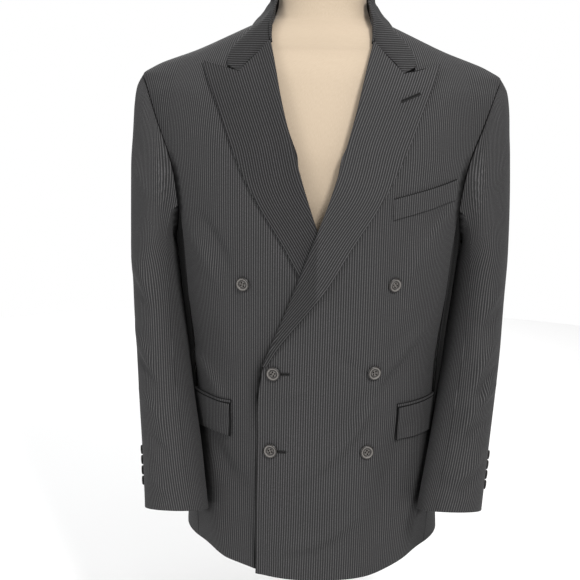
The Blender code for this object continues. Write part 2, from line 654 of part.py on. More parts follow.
def cap_point(side_name, clock, share):
    """Point on the sleeve cap: from the armhole out, and over into the hanging sleeve."""
    start = armhole_point(clock)
    end = sleeve_ring(side_name, clock, SLEEVE_TOP)
    turn = math.radians(clock)
    top = 0.5 + 0.5 * math.cos(turn)
    reach = CAP["reach"] * (CAP["reach_below"] + (1.0 - CAP["reach_below"]) * top)
    leave = start + Vector((reach, -CAP["spread"] * reach * math.sin(turn), -CAP["droop"] * reach))
    arrive = end + Vector((0.0, 0.0, min((start.z - end.z) * CAP["turn_share"], CAP["turn"])))
    rest = 1.0 - share
    return (start * rest ** 3 + leave * 3.0 * rest ** 2 * share
            + arrive * 3.0 * rest * share ** 2 + end * share ** 3)


def sleeve_point(side_name, clock, travel):
    """Point on the sleeve's outer face: travel 0 to 1 over the cap, 1 to 2 down the arm."""
    if travel <= 1.0:
        return cap_point(side_name, clock, travel)
    return sleeve_ring(side_name, clock, SLEEVE_TOP - SLEEVE_LENGTH * (travel - 1.0))


def sleeve_normal(side_name, clock, travel):
    """Unit normal of a sleeve, which points away from the arm."""
    around = sleeve_point(side_name, clock + 1.0, travel) - sleeve_point(side_name, clock - 1.0, travel)
    below = sleeve_point(side_name, clock, min(travel + 0.01, 2.0))
    above = sleeve_point(side_name, clock, max(travel - 0.01, 0.0))
    return around.cross(below - above).normalized()


def sleeve_seams(travel):
    """Clock positions of the back and front seams of a sleeve."""
    height = SLEEVE_TOP - SLEEVE_LENGTH * max(travel - 1.0, 0.0)
    return along(SLEEVE, "back_seam", height), along(SLEEVE, "front_seam", height)


def on_side(side_name, point):
    """A point of the wearer's left side, on its own side."""
    return Vector((point.x * SIDES[side_name], point.y, point.z))


def sleeve_wall(name, side_name, under, columns, material):
    """Top sleeve, or under sleeve, between the two seams of a sleeve."""
    inner_rows, outer_rows = [], []
    for travel in spread(0.0, 1.0, CAP_STEPS) + spread(1.0, 2.0, SLEEVE_STEPS)[1:]:
        back, front = sleeve_seams(travel)
        start, end = (front, back + 360.0) if under else (back, front)
        inner, outer = [], []
        for clock in spread(start + SLEEVE_SEAM_TURN, end - SLEEVE_SEAM_TURN, columns):
            point = sleeve_point(side_name, clock, travel)
            inner.append(on_side(side_name, point - sleeve_normal(side_name, clock, travel) * CLOTH))
            outer.append(on_side(side_name, point))
        inner_rows.append(inner)
        outer_rows.append(outer)
    wall(name + "_" + side_name, inner_rows, outer_rows, material)


# ---- pockets ----
def patch(name, side_name, corners, grid, gap, material):
    """Small piece on a front, between the ends of its lower and upper edges."""
    lower, upper = corners
    columns, rows = grid
    places = []
    for up in spread(0.0, 1.0, rows):
        row = []
        for across in spread(0.0, 1.0, columns):
            row.append(between(between(*lower, across), between(*upper, across), up))
        places.append(row)

    def lift(angle, height):
        return FRONT_LIFT[side_name](angle, height) + CLOTH + gap

    panel(name, SIDES[side_name], places, lift, material)


def level_edge(height):
    """Both ends of a level edge of a hip pocket."""
    return (FLAP["front_angle"], height), (FLAP["back_angle"], height)


def build_pockets(material):
    top = FLAP["top"]
    flap = (level_edge(top - FLAP["depth"]), level_edge(top))
    jet = (level_edge(top + SEAM_GAP), level_edge(top + FLAP["jet"]))
    for side_name in SIDES:
        patch("pocket_flap_" + side_name, side_name, flap, FLAP_GRID, FLAP_GAP, material)
        patch("pocket_jet_" + side_name, side_name, jet, JET_GRID, FLAP_GAP, material)
    welt = []
    for drop in (WELT["depth"], 0.0):
        inner_height, outer_height = WELT["inner_top"] - drop, WELT["outer_top"] - drop
        welt.append(((angle_at(WELT["inner_x"], inner_height), inner_height),
                     (angle_at(WELT["outer_x"], outer_height), outer_height)))
    patch("breast_welt", "left", welt, WELT_GRID, LAYER_GAP, material)


# ---- turned pieces ----
def turned(name, profile, segments, material):
    """Closed piece turned about its own Z axis from (radius, height) points."""
    bm = bmesh.new()
    corners = [bm.verts.new((radius, 0.0, height)) for radius, height in profile]
    edges = [bm.edges.new(pair) for pair in zip(corners, corners[1:])]
    bmesh.ops.spin(bm, geom=corners + edges, cent=(0.0, 0.0, 0.0), axis=(0.0, 0.0, 1.0),
                   angle=math.tau, steps=segments, use_merge=True, use_duplicate=False)
    bmesh.ops.remove_doubles(bm, verts=bm.verts, dist=1e-6)
    return link(name, mesh_from(bm, name), material)


def place_button(name, radius, point, normal, material):
    """Button whose flat underside lies on a point of the cloth."""
    thickness = radius * BUTTON_THICKNESS
    profile = [(radius * across, thickness * up) for across, up in BUTTON_PROFILE]
    button = turned(name, profile, BUTTON_SEGMENTS, material)
    turn = normal.to_track_quat("Z", "Y").to_matrix().to_4x4()
    turn.translation = point + normal * SEAM_GAP
    button.matrix_world = turn


def seat_on(surface, u, v, reach_u, reach_v):
    """Point and normal where a flat button rests on a curved surface, clear of its highest spot."""
    point = surface(u, v)
    normal = surface_normal(surface, u, v, reach_u, reach_v)
    around = [surface(u + reach_u * du, v + reach_v * dv) for du, dv in BUTTON_FEELERS]
    proud = max((spot - point).dot(normal) for spot in around)
    return point + normal * (max(proud, 0.0) + SEAT_ROOM), normal


def front_face(side_name):
    """Outer face of a front, as a surface of angle and height."""
    side = SIDES[side_name]

    def surface(angle, height):
        return on_figure(angle, height, FRONT_LIFT[side_name](angle * side, height) + CLOTH)

    return surface


def build_front_buttons(material):
    for number, row in enumerate(FRONT_BUTTONS, start=1):
        surface = front_face(row["front"])
        angle = angle_at(row["x"], row["height"])
        reach = shift_angle(row["height"], BUTTON_RADIUS)
        point, normal = seat_on(surface, angle, row["height"], reach, BUTTON_RADIUS)
        place_button("button_front_%d" % number, BUTTON_RADIUS, point, normal, material)


def build_cuff_buttons(material):
    for side_name in SIDES:
        for i in range(CUFF_BUTTONS):
            height = SLEEVE_BOTTOM + FIRST_CUFF_BUTTON + CUFF_BUTTON_STEP * i
            travel = 1.0 + (SLEEVE_TOP - height) / SLEEVE_LENGTH
            point = on_side(side_name, sleeve_point(side_name, CUFF_BUTTON_CLOCK, travel))
            normal = on_side(side_name, sleeve_normal(side_name, CUFF_BUTTON_CLOCK, travel))
            name = "button_cuff_%s_%d" % (side_name, i + 1)
            place_button(name, CUFF_BUTTON_RADIUS, point, normal, material)


# ---- dress form ----
def form_point(angle, height):
    turn = math.radians(angle)
    column = "front_depth" if math.cos(turn) > 0.0 else "back_depth"
    swell = 1.0 + FORM_FULLNESS * math.sin(2.0 * turn) ** 2
    x = along(FORM, "half_width", height) * swell * math.sin(turn)
    y = -along(FORM, column, height) * swell * math.cos(turn)
    return Vector((x, y, HEM_HEIGHT + height))


def build_form(material):
    """Torso and neck: one smooth closed body through the form's cross sections."""
    bm = bmesh.new()
    rings = []
    for height in FORM["height"]:
        ring = [bm.verts.new(form_point(angle, height)) for angle in spread(0.0, 360.0, FORM_SEGMENTS)[:-1]]
        rings.append([bm.edges.new(pair) for pair in zip(ring, ring[1:] + ring[:1])])
    for low, high in zip(rings, rings[1:]):
        bmesh.ops.bridge_loops(bm, edges=low + high)
    for ring in (rings[0], rings[-1]):
        bmesh.ops.contextual_create(bm, geom=ring)
    bmesh.ops.bevel(bm, geom=rings[-1], offset=NECK_ROUNDING, offset_type="OFFSET", affect="EDGES",
                    segments=3, profile=0.5, material=-1)
    link("form_torso", mesh_from(bm, "form_torso"), material)


def build():
    clear_scene()
    wool = finish("charcoal_wool", *WOOL)
    horn = finish("dark_horn", *HORN)
    linen = finish("cream_linen", *LINEN)
    steel = finish("black_steel", *STEEL)
    for side_name, side in SIDES.items():
        panel("front_" + side_name, side, front_places(side_name), FRONT_LIFT[side_name], wool)
        panel("side_" + side_name, side, side_places(), no_lift, wool)
        panel("back_" + side_name, side, back_places(), no_lift, wool)
        sleeve_wall("sleeve_top", side_name, False, TOP_SLEEVE_COLUMNS, wool)
        sleeve_wall("sleeve_under", side_name, True, UNDER_SLEEVE_COLUMNS, wool)
        build_lapel(side_name, wool)
    build_collar(wool)
    build_pockets(wool)
    build_front_buttons(horn)
    build_cuff_buttons(horn)
    build_form(linen)
    turned("stand_post", POST_PROFILE, POST_SEGMENTS, steel)
    turned("stand_base", BASE_PROFILE, BASE_SEGMENTS, steel)


build()
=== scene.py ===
import json
import math

import bmesh
import bpy
import numpy as np
from mathutils import Matrix, Vector

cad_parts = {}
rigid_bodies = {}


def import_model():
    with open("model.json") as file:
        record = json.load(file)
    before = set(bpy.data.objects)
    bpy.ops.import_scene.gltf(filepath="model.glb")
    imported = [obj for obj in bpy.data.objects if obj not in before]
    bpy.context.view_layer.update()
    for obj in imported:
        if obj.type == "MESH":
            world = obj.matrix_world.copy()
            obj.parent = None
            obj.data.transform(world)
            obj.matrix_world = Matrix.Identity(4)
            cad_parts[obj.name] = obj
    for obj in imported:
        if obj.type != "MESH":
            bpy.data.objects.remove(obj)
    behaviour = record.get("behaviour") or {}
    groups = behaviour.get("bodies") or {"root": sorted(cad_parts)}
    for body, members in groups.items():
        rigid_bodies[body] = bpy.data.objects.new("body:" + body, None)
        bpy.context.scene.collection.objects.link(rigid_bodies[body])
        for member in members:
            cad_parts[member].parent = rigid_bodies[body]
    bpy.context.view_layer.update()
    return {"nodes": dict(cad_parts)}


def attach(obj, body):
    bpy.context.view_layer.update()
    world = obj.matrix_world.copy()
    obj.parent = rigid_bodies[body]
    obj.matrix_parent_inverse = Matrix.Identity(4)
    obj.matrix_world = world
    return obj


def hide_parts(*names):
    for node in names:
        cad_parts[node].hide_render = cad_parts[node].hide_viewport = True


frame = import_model()
nodes = frame["nodes"]
hem = 0.200                    # height of the blazer's hem; the wearer's left is towards +X
print("frame loaded", len(nodes), "nodes")


# camera, floor and light
view = {
    "distance": 1.45,           # in front of the form's axis
    "height": 0.885,
    "down": 12.0,
    "pan": math.degrees(math.atan(0.027)),
    "roll": 0.94,
    "sensor": 36.0,
    "lens": 36.0 * 1000.0 / 580.0,
    "far": 30.0,
}

studio = {
    "floor": (0.91, 0.91, 0.91),
    "floorRadius": 2.4,
    "floorRoughness": 0.75,
    "air": (1.0, 1.0, 1.0),
    "airStrength": 0.60,
    "backdropStrength": 1.0,    # how bright the air behind the blazer looks
    "aim": (0.0, 0.0, 0.65),    # where every lamp points
    # name: place, size, watts, colour
    "lamps": {
        "keyLamp": ((1.1, -2.1, 2.6), 0.7, 72.0, (1.0, 0.99, 0.98)),
        "fillLamp": ((-2.1, -1.7, 1.6), 1.2, 20.0, (0.99, 0.995, 1.0)),
        "topLamp": ((0.0, 0.3, 2.9), 1.4, 20.0, (1.0, 1.0, 1.0)),
        "backLamp": ((-0.6, 2.6, 1.9), 1.6, 26.0, (0.99, 0.995, 1.0)),
    },
}


def linked(name, data):
    holder = bpy.data.objects.new(name, data)
    bpy.context.scene.collection.objects.link(holder)
    return holder


def addPiece(name, bm, *materials):
    mesh = bpy.data.meshes.new(name)
    bm.to_mesh(mesh)
    bm.free()
    mesh.shade_smooth()
    for material in materials:
        mesh.materials.append(material)
    return linked(name, mesh)


def setStage():
    camera = linked("camera", bpy.data.cameras.new("camera"))
    camera.data.sensor_width = view["sensor"]
    camera.data.lens = view["lens"]
    camera.data.clip_end = view["far"]
    camera.matrix_world = (
        Matrix.Translation((0.0, -view["distance"], view["height"]))
        @ Matrix.Rotation(math.radians(view["pan"]), 4, "Z")
        @ Matrix.Rotation(math.radians(90.0 - view["down"]), 4, "X")
        @ Matrix.Rotation(math.radians(view["roll"]), 4, "Z")
    )
    bpy.context.scene.camera = camera

    bm = bmesh.new()
    bmesh.ops.create_circle(bm, cap_ends=True, segments=96, radius=studio["floorRadius"])
    addPiece("floor", bm, plainMaterial("floorPaint", studio["floor"], studio["floorRoughness"]))

    for name, (place, size, watts, colour) in studio["lamps"].items():
        lamp = bpy.data.lights.new(name, "AREA")
        lamp.shape = "DISK"
        lamp.size = size
        lamp.energy = watts
        lamp.color = colour
        turn = (Vector(studio["aim"]) - Vector(place)).to_track_quat("-Z", "Y")
        linked(name, lamp).matrix_world = Matrix.Translation(place) @ turn.to_matrix().to_4x4()

    world = bpy.data.worlds.new("studioAir")
    world.use_nodes = True
    tree = world.node_tree
    direct = addNode(tree, "LightPath").outputs["Is Camera Ray"]
    brighter = studio["backdropStrength"] - studio["airStrength"]
    strength = scaled(tree, direct, brighter, studio["airStrength"])
    fill(tree, tree.nodes["Background"], {"Color": studio["air"], "Strength": strength})
    bpy.context.scene.world = world
    bpy.context.scene.view_settings.view_transform = "Standard"
    print("floor, lamps and camera set")


# materials
def newMaterial(name):
    material = bpy.data.materials.new(name)
    material.use_nodes = True
    return material, material.node_tree, material.node_tree.nodes["Principled BSDF"]


def fill(tree, node, values):
    # gives each input a link from another node, or a plain value
    for key, value in values.items():
        socket = node.inputs[key]
        if isinstance(value, bpy.types.NodeSocket):
            tree.links.new(value, socket)
        elif socket.type == "RGBA":
            socket.default_value = (*value, 1.0)
        else:
            socket.default_value = value


def addNode(tree, kind, values=None, **settings):
    node = tree.nodes.new("ShaderNode" + kind)
    for key, value in settings.items():
        setattr(node, key, value)
    fill(tree, node, values or {})
    return node


def calc(tree, operation, *values):
    return addNode(tree, "Math", dict(enumerate(values)), operation=operation).outputs[0]


def scaled(tree, value, amount, least):
    return calc(tree, "MULTIPLY_ADD", value, amount, least)


def mixColours(tree, share, first, second):
    return addNode(tree, "Mix", {0: share, 6: first, 7: second}, data_type="RGBA").outputs[2]


def softStep(tree, value, low, high):
    ends = {"Value": value, "From Min": low, "From Max": high}
    return addNode(tree, "MapRange", ends, interpolation_type="SMOOTHSTEP").outputs["Result"]


def noise(tree, place, scale, detail, distortion=0.0):
    values = {"Vector": place, "Scale": scale, "Detail": detail, "Distortion": distortion}
    return addNode(tree, "TexNoise", values).outputs["Fac"]


def bumpOf(tree, height, strength, distance):
    values = {"Height": height, "Strength": strength, "Distance": distance}
    return addNode(tree, "Bump", values).outputs["Normal"]


def onObject(tree):
    return addNode(tree, "TexCoord").outputs["Object"]


def onFlat(tree, name):
    return addNode(tree, "UVMap", uv_map=name).outputs["UV"]


def makeWeaveGroup():
    # crossing threads on the cloth's own flat coordinates, in metres
    group = bpy.data.node_groups.new("threadWeave", "ShaderNodeTree")
    sockets = (("Flat", "INPUT", "Vector"), ("Thread", "INPUT", "Float"), ("Slant", "INPUT", "Float"),
               ("Height", "OUTPUT", "Float"), ("Thread Tone", "OUTPUT", "Float"))
    for label, way, kind in sockets:
        group.interface.new_socket(label, in_out=way, socket_type="NodeSocket" + kind)
    given = group.nodes.new("NodeGroupInput").outputs
    parts = addNode(group, "SeparateXYZ", {"Vector": given["Flat"]}).outputs
    across = calc(group, "DIVIDE", parts["X"], given["Thread"])
    along = calc(group, "DIVIDE", parts["Y"], given["Thread"])
    slanted = calc(group, "ADD", across, calc(group, "MULTIPLY", along, given["Slant"]))
    ridge = calc(group, "SINE", calc(group, "MULTIPLY", slanted, math.pi))
    cross = calc(group, "SINE", calc(group, "MULTIPLY", along, 2.0 * math.pi))
    height = calc(group, "ADD", calc(group, "MULTIPLY", ridge, 0.6), calc(group, "MULTIPLY", cross, 0.4))
    # a thread keeps its tone a good way along itself
    stretched = addNode(group, "CombineXYZ", {"X": across, "Y": calc(group, "MULTIPLY", along, 0.12)})
    tone = noise(group, stretched.outputs[0], 1.0, 1.0)
    out = group.nodes.new("NodeGroupOutput")
    fill(group, out, {"Height": scaled(group, height, 0.5, 0.5), "Thread Tone": tone})
    return group


def weaveOn(tree, weaveGroup, thread, slant):
    values = {"Flat": onFlat(tree, "grain"), "Thread": thread, "Slant": slant}
    return addNode(tree, "Group", values, node_tree=weaveGroup).outputs


def plainMaterial(name, colour, roughness):
    material, tree, shader = newMaterial(name)
    tint = mixColours(tree, noise(tree, onObject(tree), 3.0, 2.0), [c * 0.985 for c in colour], colour)
    fill(tree, shader, {"Base Color": tint, "Roughness": roughness})
    return material


suiting = {
    "stripeSpacing": 0.0033,
    "stripeWidth": 0.00055,     # half the width of a pale line
    "stripeSoft": 0.00022,
    "stitch": 0.0011,           # length of one stitch of the pale yarn
    "thread": 0.00042,
    "slant": 0.9,
    "ground": (0.0208, 0.0204, 0.0209),
    "groundPale": (0.0290, 0.0285, 0.0290),
    "stripe": (0.097, 0.096, 0.098),
    "melange": 0.34,            # how much single yarns differ in tone
    "patchy": 0.16,             # and how much broad parts of the cloth do
    "paintedShadeDark": 0.97,           # how dark the painted shade and shadow make the cloth at their darkest, as where it turns into a seam
    "roughness": 0.86,
    "sheen": 0.03,
    "gloss": 0.10,
    "sheenRoughness": 0.42,
    "bump": 0.00010,
}


def makeWool(weaveGroup):
    material, tree, shader = newMaterial("pinstripedWool")
    flat = onFlat(tree, "grain")
    weave = weaveOn(tree, weaveGroup, suiting["thread"], suiting["slant"])
    parts = addNode(tree, "SeparateXYZ", {"Vector": flat}).outputs
    # distance to the nearest pale line
    place = calc(tree, "FRACT", calc(tree, "DIVIDE", parts["X"], suiting["stripeSpacing"]))
    away = calc(tree, "ABSOLUTE", calc(tree, "SUBTRACT", place, 0.5))
    away = calc(tree, "MULTIPLY", away, suiting["stripeSpacing"])
    width, soft = suiting["stripeWidth"], suiting["stripeSoft"]
    line = softStep(tree, away, width + soft, width - soft)
    # the pale yarn shows as small stitches, never quite evenly
    stitch = calc(tree, "SINE", calc(tree, "MULTIPLY", parts["Y"], 2.0 * math.pi / suiting["stitch"]))
    stitch = scaled(tree, stitch, 0.16, 0.78)
    uneven = scaled(tree, noise(tree, flat, 420.0, 2.0), 0.7, 0.65)
    line = calc(tree, "MULTIPLY", line, calc(tree, "MULTIPLY", stitch, uneven))
    # the tone of broad parts and of single yarns, and the painted shade and shadow that each point of the
    # cloth carries
    patchy, melange = suiting["patchy"], suiting["melange"]
    broad = scaled(tree, noise(tree, onObject(tree), 9.0, 3.0), patchy, 1.0 - patchy / 2.0)
    yarns = scaled(tree, noise(tree, flat, 650.0, 2.0), 2.0 * melange, 1.0 - melange)
    paintedShadeAmount = addNode(tree, "Attribute", attribute_name="paintedShade").outputs["Fac"]
    left = scaled(tree, paintedShadeAmount, -suiting["paintedShadeDark"], 1.0)
    shade = calc(tree, "MULTIPLY", calc(tree, "MULTIPLY", broad, yarns), left)
    ground = mixColours(tree, weave["Thread Tone"], suiting["ground"], suiting["groundPale"])
    striped = mixColours(tree, line, ground, suiting["stripe"])
    toned = addNode(tree, "VectorMath", {0: striped, "Scale": shade}, operation="SCALE").outputs[0]
    lifted = calc(tree, "ADD", weave["Height"], calc(tree, "MULTIPLY", line, 0.5))
    fill(tree, shader, {
        "Base Color": toned,
        "Roughness": scaled(tree, weave["Thread Tone"], 0.12, suiting["roughness"] - 0.06),
        "Sheen Weight": suiting["sheen"],
        "Sheen Roughness": suiting["sheenRoughness"],
        "Specular IOR Level": suiting["gloss"],
        "Normal": bumpOf(tree, lifted, 0.6, suiting["bump"]),
    })
    return material


hornLook = {
    "dark": (0.014, 0.012, 0.011),
    "brown": (0.070, 0.063, 0.057),
    "pale": (0.150, 0.141, 0.132),
    "roughness": 0.42,
    # tone of the turned rings from the middle out: share of the radius and how pale. The pale rim is partly
    # a painted highlight, the dark groove and edge partly painted shade
    "rings": ((0.0, 0.62), (0.40, 0.70), (0.46, 0.05), (0.56, 0.05), (0.62, 0.62), (0.71, 1.0),
              (0.78, 0.80), (0.84, 0.03)),
}


def makeHorn():
    material, tree, shader = newMaterial("polishedHorn")
    # the rings lie on the button's own flat coordinates, the streaks on the object's
    away = addNode(tree, "VectorMath", {0: onFlat(tree, "rings")}, operation="LENGTH").outputs["Value"]
    # the ring tones paint a highlight on the rim and shade in the groove, at the edge and in the holes
    rings = addNode(tree, "ValToRGB", {"Fac": away})
    ramp = rings.color_ramp
    for i, (place, tone) in enumerate(hornLook["rings"]):
        stop = ramp.elements[i] if i < 2 else ramp.elements.new(place)
        stop.position = place
        stop.color = (tone, tone, tone, 1.0)
    streaks = noise(tree, onObject(tree), 240.0, 3.0, 1.2)
    tone = calc(tree, "MULTIPLY", rings.outputs["Color"], scaled(tree, streaks, 0.9, 0.55))
    base = mixColours(tree, softStep(tree, tone, 0.02, 0.50), hornLook["dark"], hornLook["brown"])
    fill(tree, shader, {
        "Base Color": mixColours(tree, softStep(tree, tone, 0.45, 1.05), base, hornLook["pale"]),
        "Roughness": scaled(tree, streaks, 0.16, hornLook["roughness"] - 0.08),
        "Normal": bumpOf(tree, streaks, 0.2, 0.0001),
    })
    return material


# dark and pale colour of each thread, and the length of one twist. slitShadow is no thread but a near-black
# cord of painted shade along a buttonhole's slit
threads = {
    "buttonholeThread": ((0.006, 0.006, 0.006), (0.020, 0.020, 0.020), 0.0005),
    "slitShadow": ((0.001, 0.001, 0.001), (0.003, 0.003, 0.003), 0.001),
}


def makeThread(name):
    material, tree, shader = newMaterial(name)
    dark, pale, pitch = threads[name]
    twist = noise(tree, onObject(tree), 1.0 / pitch, 2.0)
    fill(tree, shader, {
        "Base Color": mixColours(tree, twist, dark, pale),
        "Roughness": scaled(tree, twist, 0.2, 0.62),
        "Sheen Weight": 0.04,
        "Specular IOR Level": 0.15,
        "Normal": bumpOf(tree, twist, 0.8, 0.0002),
    })
    return material


# rough: what the roughness follows, how much of it, and its least. bump: strength and depth.
liningLook = {
    "dark": (0.010, 0.010, 0.011), "pale": (0.020, 0.020, 0.022), "thread": 0.00030, "slant": 0.3,
    "rough": ("Thread Tone", 0.2, 0.28), "bump": (0.3, 0.00005), "sheen": 0.0,
    "hem": 0.036,               # the wool turns up this far inside a hem
    "facing": 0.090,            # and this far inside the front edges
}

linenLook = {
    "dark": (0.400, 0.312, 0.222), "pale": (0.505, 0.412, 0.305), "thread": 0.0006, "slant": 0.0,
    "rough": ("Height", 0.1, 0.68), "bump": (0.5, 0.00012), "sheen": 0.15,
}


def makeWoven(name, look, weaveGroup):
    material, tree, shader = newMaterial(name)
    weave = weaveOn(tree, weaveGroup, look["thread"], look["slant"])
    follows, amount, least = look["rough"]
    fill(tree, shader, {
        "Base Color": mixColours(tree, weave["Thread Tone"], look["dark"], look["pale"]),
        "Roughness": scaled(tree, weave[follows], amount, least),
        "Sheen Weight": look["sheen"],
        "Normal": bumpOf(tree, weave["Height"], *look["bump"]),
    })
    return material


steelLook = {"dark": (0.022, 0.022, 0.024), "rubbed": (0.038, 0.038, 0.040)}


def makeSteel():
    material, tree, shader = newMaterial("blackPowderCoat")
    place = onObject(tree)
    wear = noise(tree, place, 26.0, 4.0)
    rubbed = softStep(tree, wear, 0.60, 0.80)
    fill(tree, shader, {
        "Base Color": mixColours(tree, rubbed, steelLook["dark"], steelLook["rubbed"]),
        "Roughness": scaled(tree, wear, 0.22, 0.34),
        "Normal": bumpOf(tree, noise(tree, place, 900.0, 2.0), 0.35, 0.0002),
    })
    return material


# reading a wall of cloth from the frame
def visibleSide(bm, strays):
    # the largest stretch of faces that turns no sharp corner is the side that shows
    unseen = set(bm.faces)
    stretches = []
    for start in bm.faces:
        if start not in unseen:
            continue
        unseen.discard(start)
        found = [start]
        for face in found:
            for edge in face.edges:
                if edge.calc_face_angle() < math.radians(50.0):
                    for other in edge.link_faces:
                        if other in unseen:
                            unseen.discard(other)
                            found.append(other)
        stretches.append(found)
    skin = max(stretches, key=lambda faces: sum(face.calc_area() for face in faces))
    for place in map(Vector, strays):
        skin = [face for face in skin if all((vert.co - place).length > 0.001 for vert in face.verts)]
    return set(skin)


def borderOf(bm, skin):
    beside = {}
    for edge in bm.edges:
        if sum(face in skin for face in edge.link_faces) == 1:
            for vert in edge.verts:
                beside.setdefault(vert, []).append(edge.other_vert(vert))
    loop = [next(iter(beside))]
    loop.append(beside[loop[0]][0])
    while True:
        ahead = [vert for vert in beside[loop[-1]] if vert is not loop[-2]][0]
        if ahead is loop[0]:
            return loop
        loop.append(ahead)


def firstRowAndColumn(loop, rows, columns, home, second):
    # the four corners are where the border turns most, this many cells apart
    count = len(loop)
    turns = []
    for i in range(count):
        before = loop[i].co - loop[i - 1].co
        after = loop[(i + 1) % count].co - loop[i].co
        turns.append(before.angle(after))
    steps = (0, columns, columns + rows, columns + rows + columns)
    start = max(range(count), key=lambda i: sum(turns[(i + step) % count] for step in steps))
    corners = [(start + step) % count for step in steps]
    at = max(corners, key=lambda i: loop[i].co.dot(Vector(home)))
    choices = []
    for way in (1, -1):
        if (at + way * columns) % count in corners and (at - way * rows) % count in corners:
            choices.append((loop[(at + way * columns) % count].co.dot(Vector(second)), way))
    way = max(choices)[1]
    row = [loop[(at + way * i) % count] for i in range(columns + 1)]
    column = [loop[(at - way * i) % count] for i in range(rows + 1)]
    return row, column


def readWall(node, cells, home, second, strays):
    # the grid of points of a wall's visible side, and which way its cells face
    rows, columns = cells
    bm = bmesh.new()
    bm.from_mesh(nodes[node].data)
    bmesh.ops.remove_doubles(bm, verts=bm.verts, dist=1e-5)
    skin = visibleSide(bm, strays)
    row, column = firstRowAndColumn(borderOf(bm, skin), rows, columns, home, second)
    grid = [row]
    used = set()
    facing = 0.0

    def faceWith(*verts):
        for face in verts[0].link_faces:
            if face in skin and face not in used and all(vert in face.verts for vert in verts):
                used.add(face)
                return face
        raise RuntimeError("a cell of %s has no face" % node)

    for up in range(rows):
        above = [column[up + 1]]
        for i in range(columns):
            a, b, d = grid[-1][i], grid[-1][i + 1], above[i]
            face = faceWith(a, b)
            apex = [vert for vert in face.verts if vert not in (a, b)][0]
            if apex is d:
                face = faceWith(b, d)
                apex = [vert for vert in face.verts if vert not in (b, d)][0]
            else:
                faceWith(a, d, apex)
            above.append(apex)
            facing += face.normal.dot((b.co - a.co).cross(d.co - a.co))
        grid.append(above)
    points = np.array([[tuple(vert.co) for vert in line] for line in grid])
    bm.free()
    return points, (1.0 if facing > 0.0 else -1.0)


def wallOf(node, kind, side):
    # its corners are named for the wearer's left, and turned round for the right
    facts = pieces[kind]
    homeSide = side if kind in ("front", "back", "lapel") else 1.0
    home = (facts["home"][0] * homeSide, *facts["home"][1:])
    second = (facts["second"][0] * side, *facts["second"][1:])
    return readWall(node, facts["cells"], home, second, facts["strays"])


# finer cloth through the same points
def smooth(values, low, high):
    t = np.clip((values - low) / (high - low), 0.0, 1.0)
    return t * t * (3.0 - 2.0 * t)


def lengthsOf(vectors):
    return np.maximum(np.linalg.norm(vectors, axis=-1, keepdims=True), 1e-12)


def lineLength(grid, axis, level=False):
    # how far each point lies along the cloth from the first row or column
    steps = np.diff(grid[..., :2] if level else grid, axis=axis)
    gone = np.cumsum(np.linalg.norm(steps, axis=2), axis=axis)
    return np.pad(gone, [(1, 0), (0, 0)] if axis == 0 else [(0, 0), (1, 0)])


def smoothWeights(knots, places):
    # weights that carry values at the knots to other places along one natural cubic curve
    count = len(knots)
    eye = np.eye(count)
    steps = np.diff(knots)
    slopes = np.diff(eye, axis=0) / steps[:, None]
    bend = np.zeros((count, count))
    pull = np.zeros((count, count))
    bend[0, :2] = (2.0, 1.0)
    pull[0] = 3.0 * slopes[0]
    bend[-1, -2:] = (1.0, 2.0)
    pull[-1] = 3.0 * slopes[-1]
    for i in range(1, count - 1):
        bend[i, i - 1] = 1.0 / steps[i - 1]
        bend[i, i] = 2.0 / steps[i - 1] + 2.0 / steps[i]
        bend[i, i + 1] = 1.0 / steps[i]
        pull[i] = 3.0 * (slopes[i - 1] / steps[i - 1] + slopes[i] / steps[i])
    tangents = np.linalg.solve(bend, pull)
    cell = np.clip(np.searchsorted(knots, places, side="right") - 1, 0, count - 2)
    t = ((places - knots[cell]) / steps[cell])[:, None]
    h = steps[cell][:, None]
    curved = (2 * t**3 - 3 * t**2 + 1) * eye[cell] + (t**3 - 2 * t**2 + t) * h * tangents[cell]
    curved += (3 * t**2 - 2 * t**3) * eye[cell + 1] + (t**3 - t**2) * h * tangents[cell + 1]
    straight = (1 - t) * eye[cell] + t * eye[cell + 1]
    return curved, straight


def creasedWeights(knots, places, creases):
    # the same, broken at the lines where the cloth's outline has a sharp corner
    ends = [0, *creases, len(knots) - 1]
    curved = np.zeros((len(places), len(knots)))
    straight = np.zeros((len(places), len(knots)))
    for low, high in zip(ends, ends[1:]):
        inside = (places >= knots[low] - 1e-9) & (places <= knots[high] + 1e-9)
        part = smoothWeights(knots[low:high + 1], places[inside])
        for whole, piece in zip((curved, straight), part):
            whole[inside] = 0.0
            whole[np.ix_(inside, range(low, high + 1))] = piece
    return curved, straight


def finePlaces(knots, cell, least, nearEdge):
    # places no further apart than a cell, with the ones near the edge given
    places = [knots[-1]]
    for start, end in zip(knots, knots[1:]):
        parts = max(least, math.ceil((end - start) / cell))
        places.extend(start + (end - start) * np.arange(parts) / parts)
    places = np.array(sorted(places))
    reach = max(nearEdge) * 1.3
    kept = places[(places > reach) & (places < knots[-1] - reach)]
    extra = np.array(nearEdge)
    places = np.unique(np.round(np.concatenate((extra, kept, knots[-1] - extra)), 7))
    return np.clip(places, 0.0, knots[-1])


def knotsAlong(points, axis):
    # even places for the rows or columns, from the mean length between them
    steps = np.linalg.norm(np.diff(points, axis=axis), axis=2).mean(axis=1 - axis)
    return np.concatenate(([0.0], np.cumsum(steps)))


def curvedThrough(points, rowWeights, columnWeights, limit):
    # the straight surface through the points, and how far the curved one lies off it
    weights = zip(rowWeights, columnWeights)
    curved, straight = [np.einsum("ri,ijk,cj->rck", rows, points, columns) for rows, columns in weights]
    off = curved - straight
    size = lengthsOf(off)
    return straight, off / size * limit * np.tanh(size / limit)


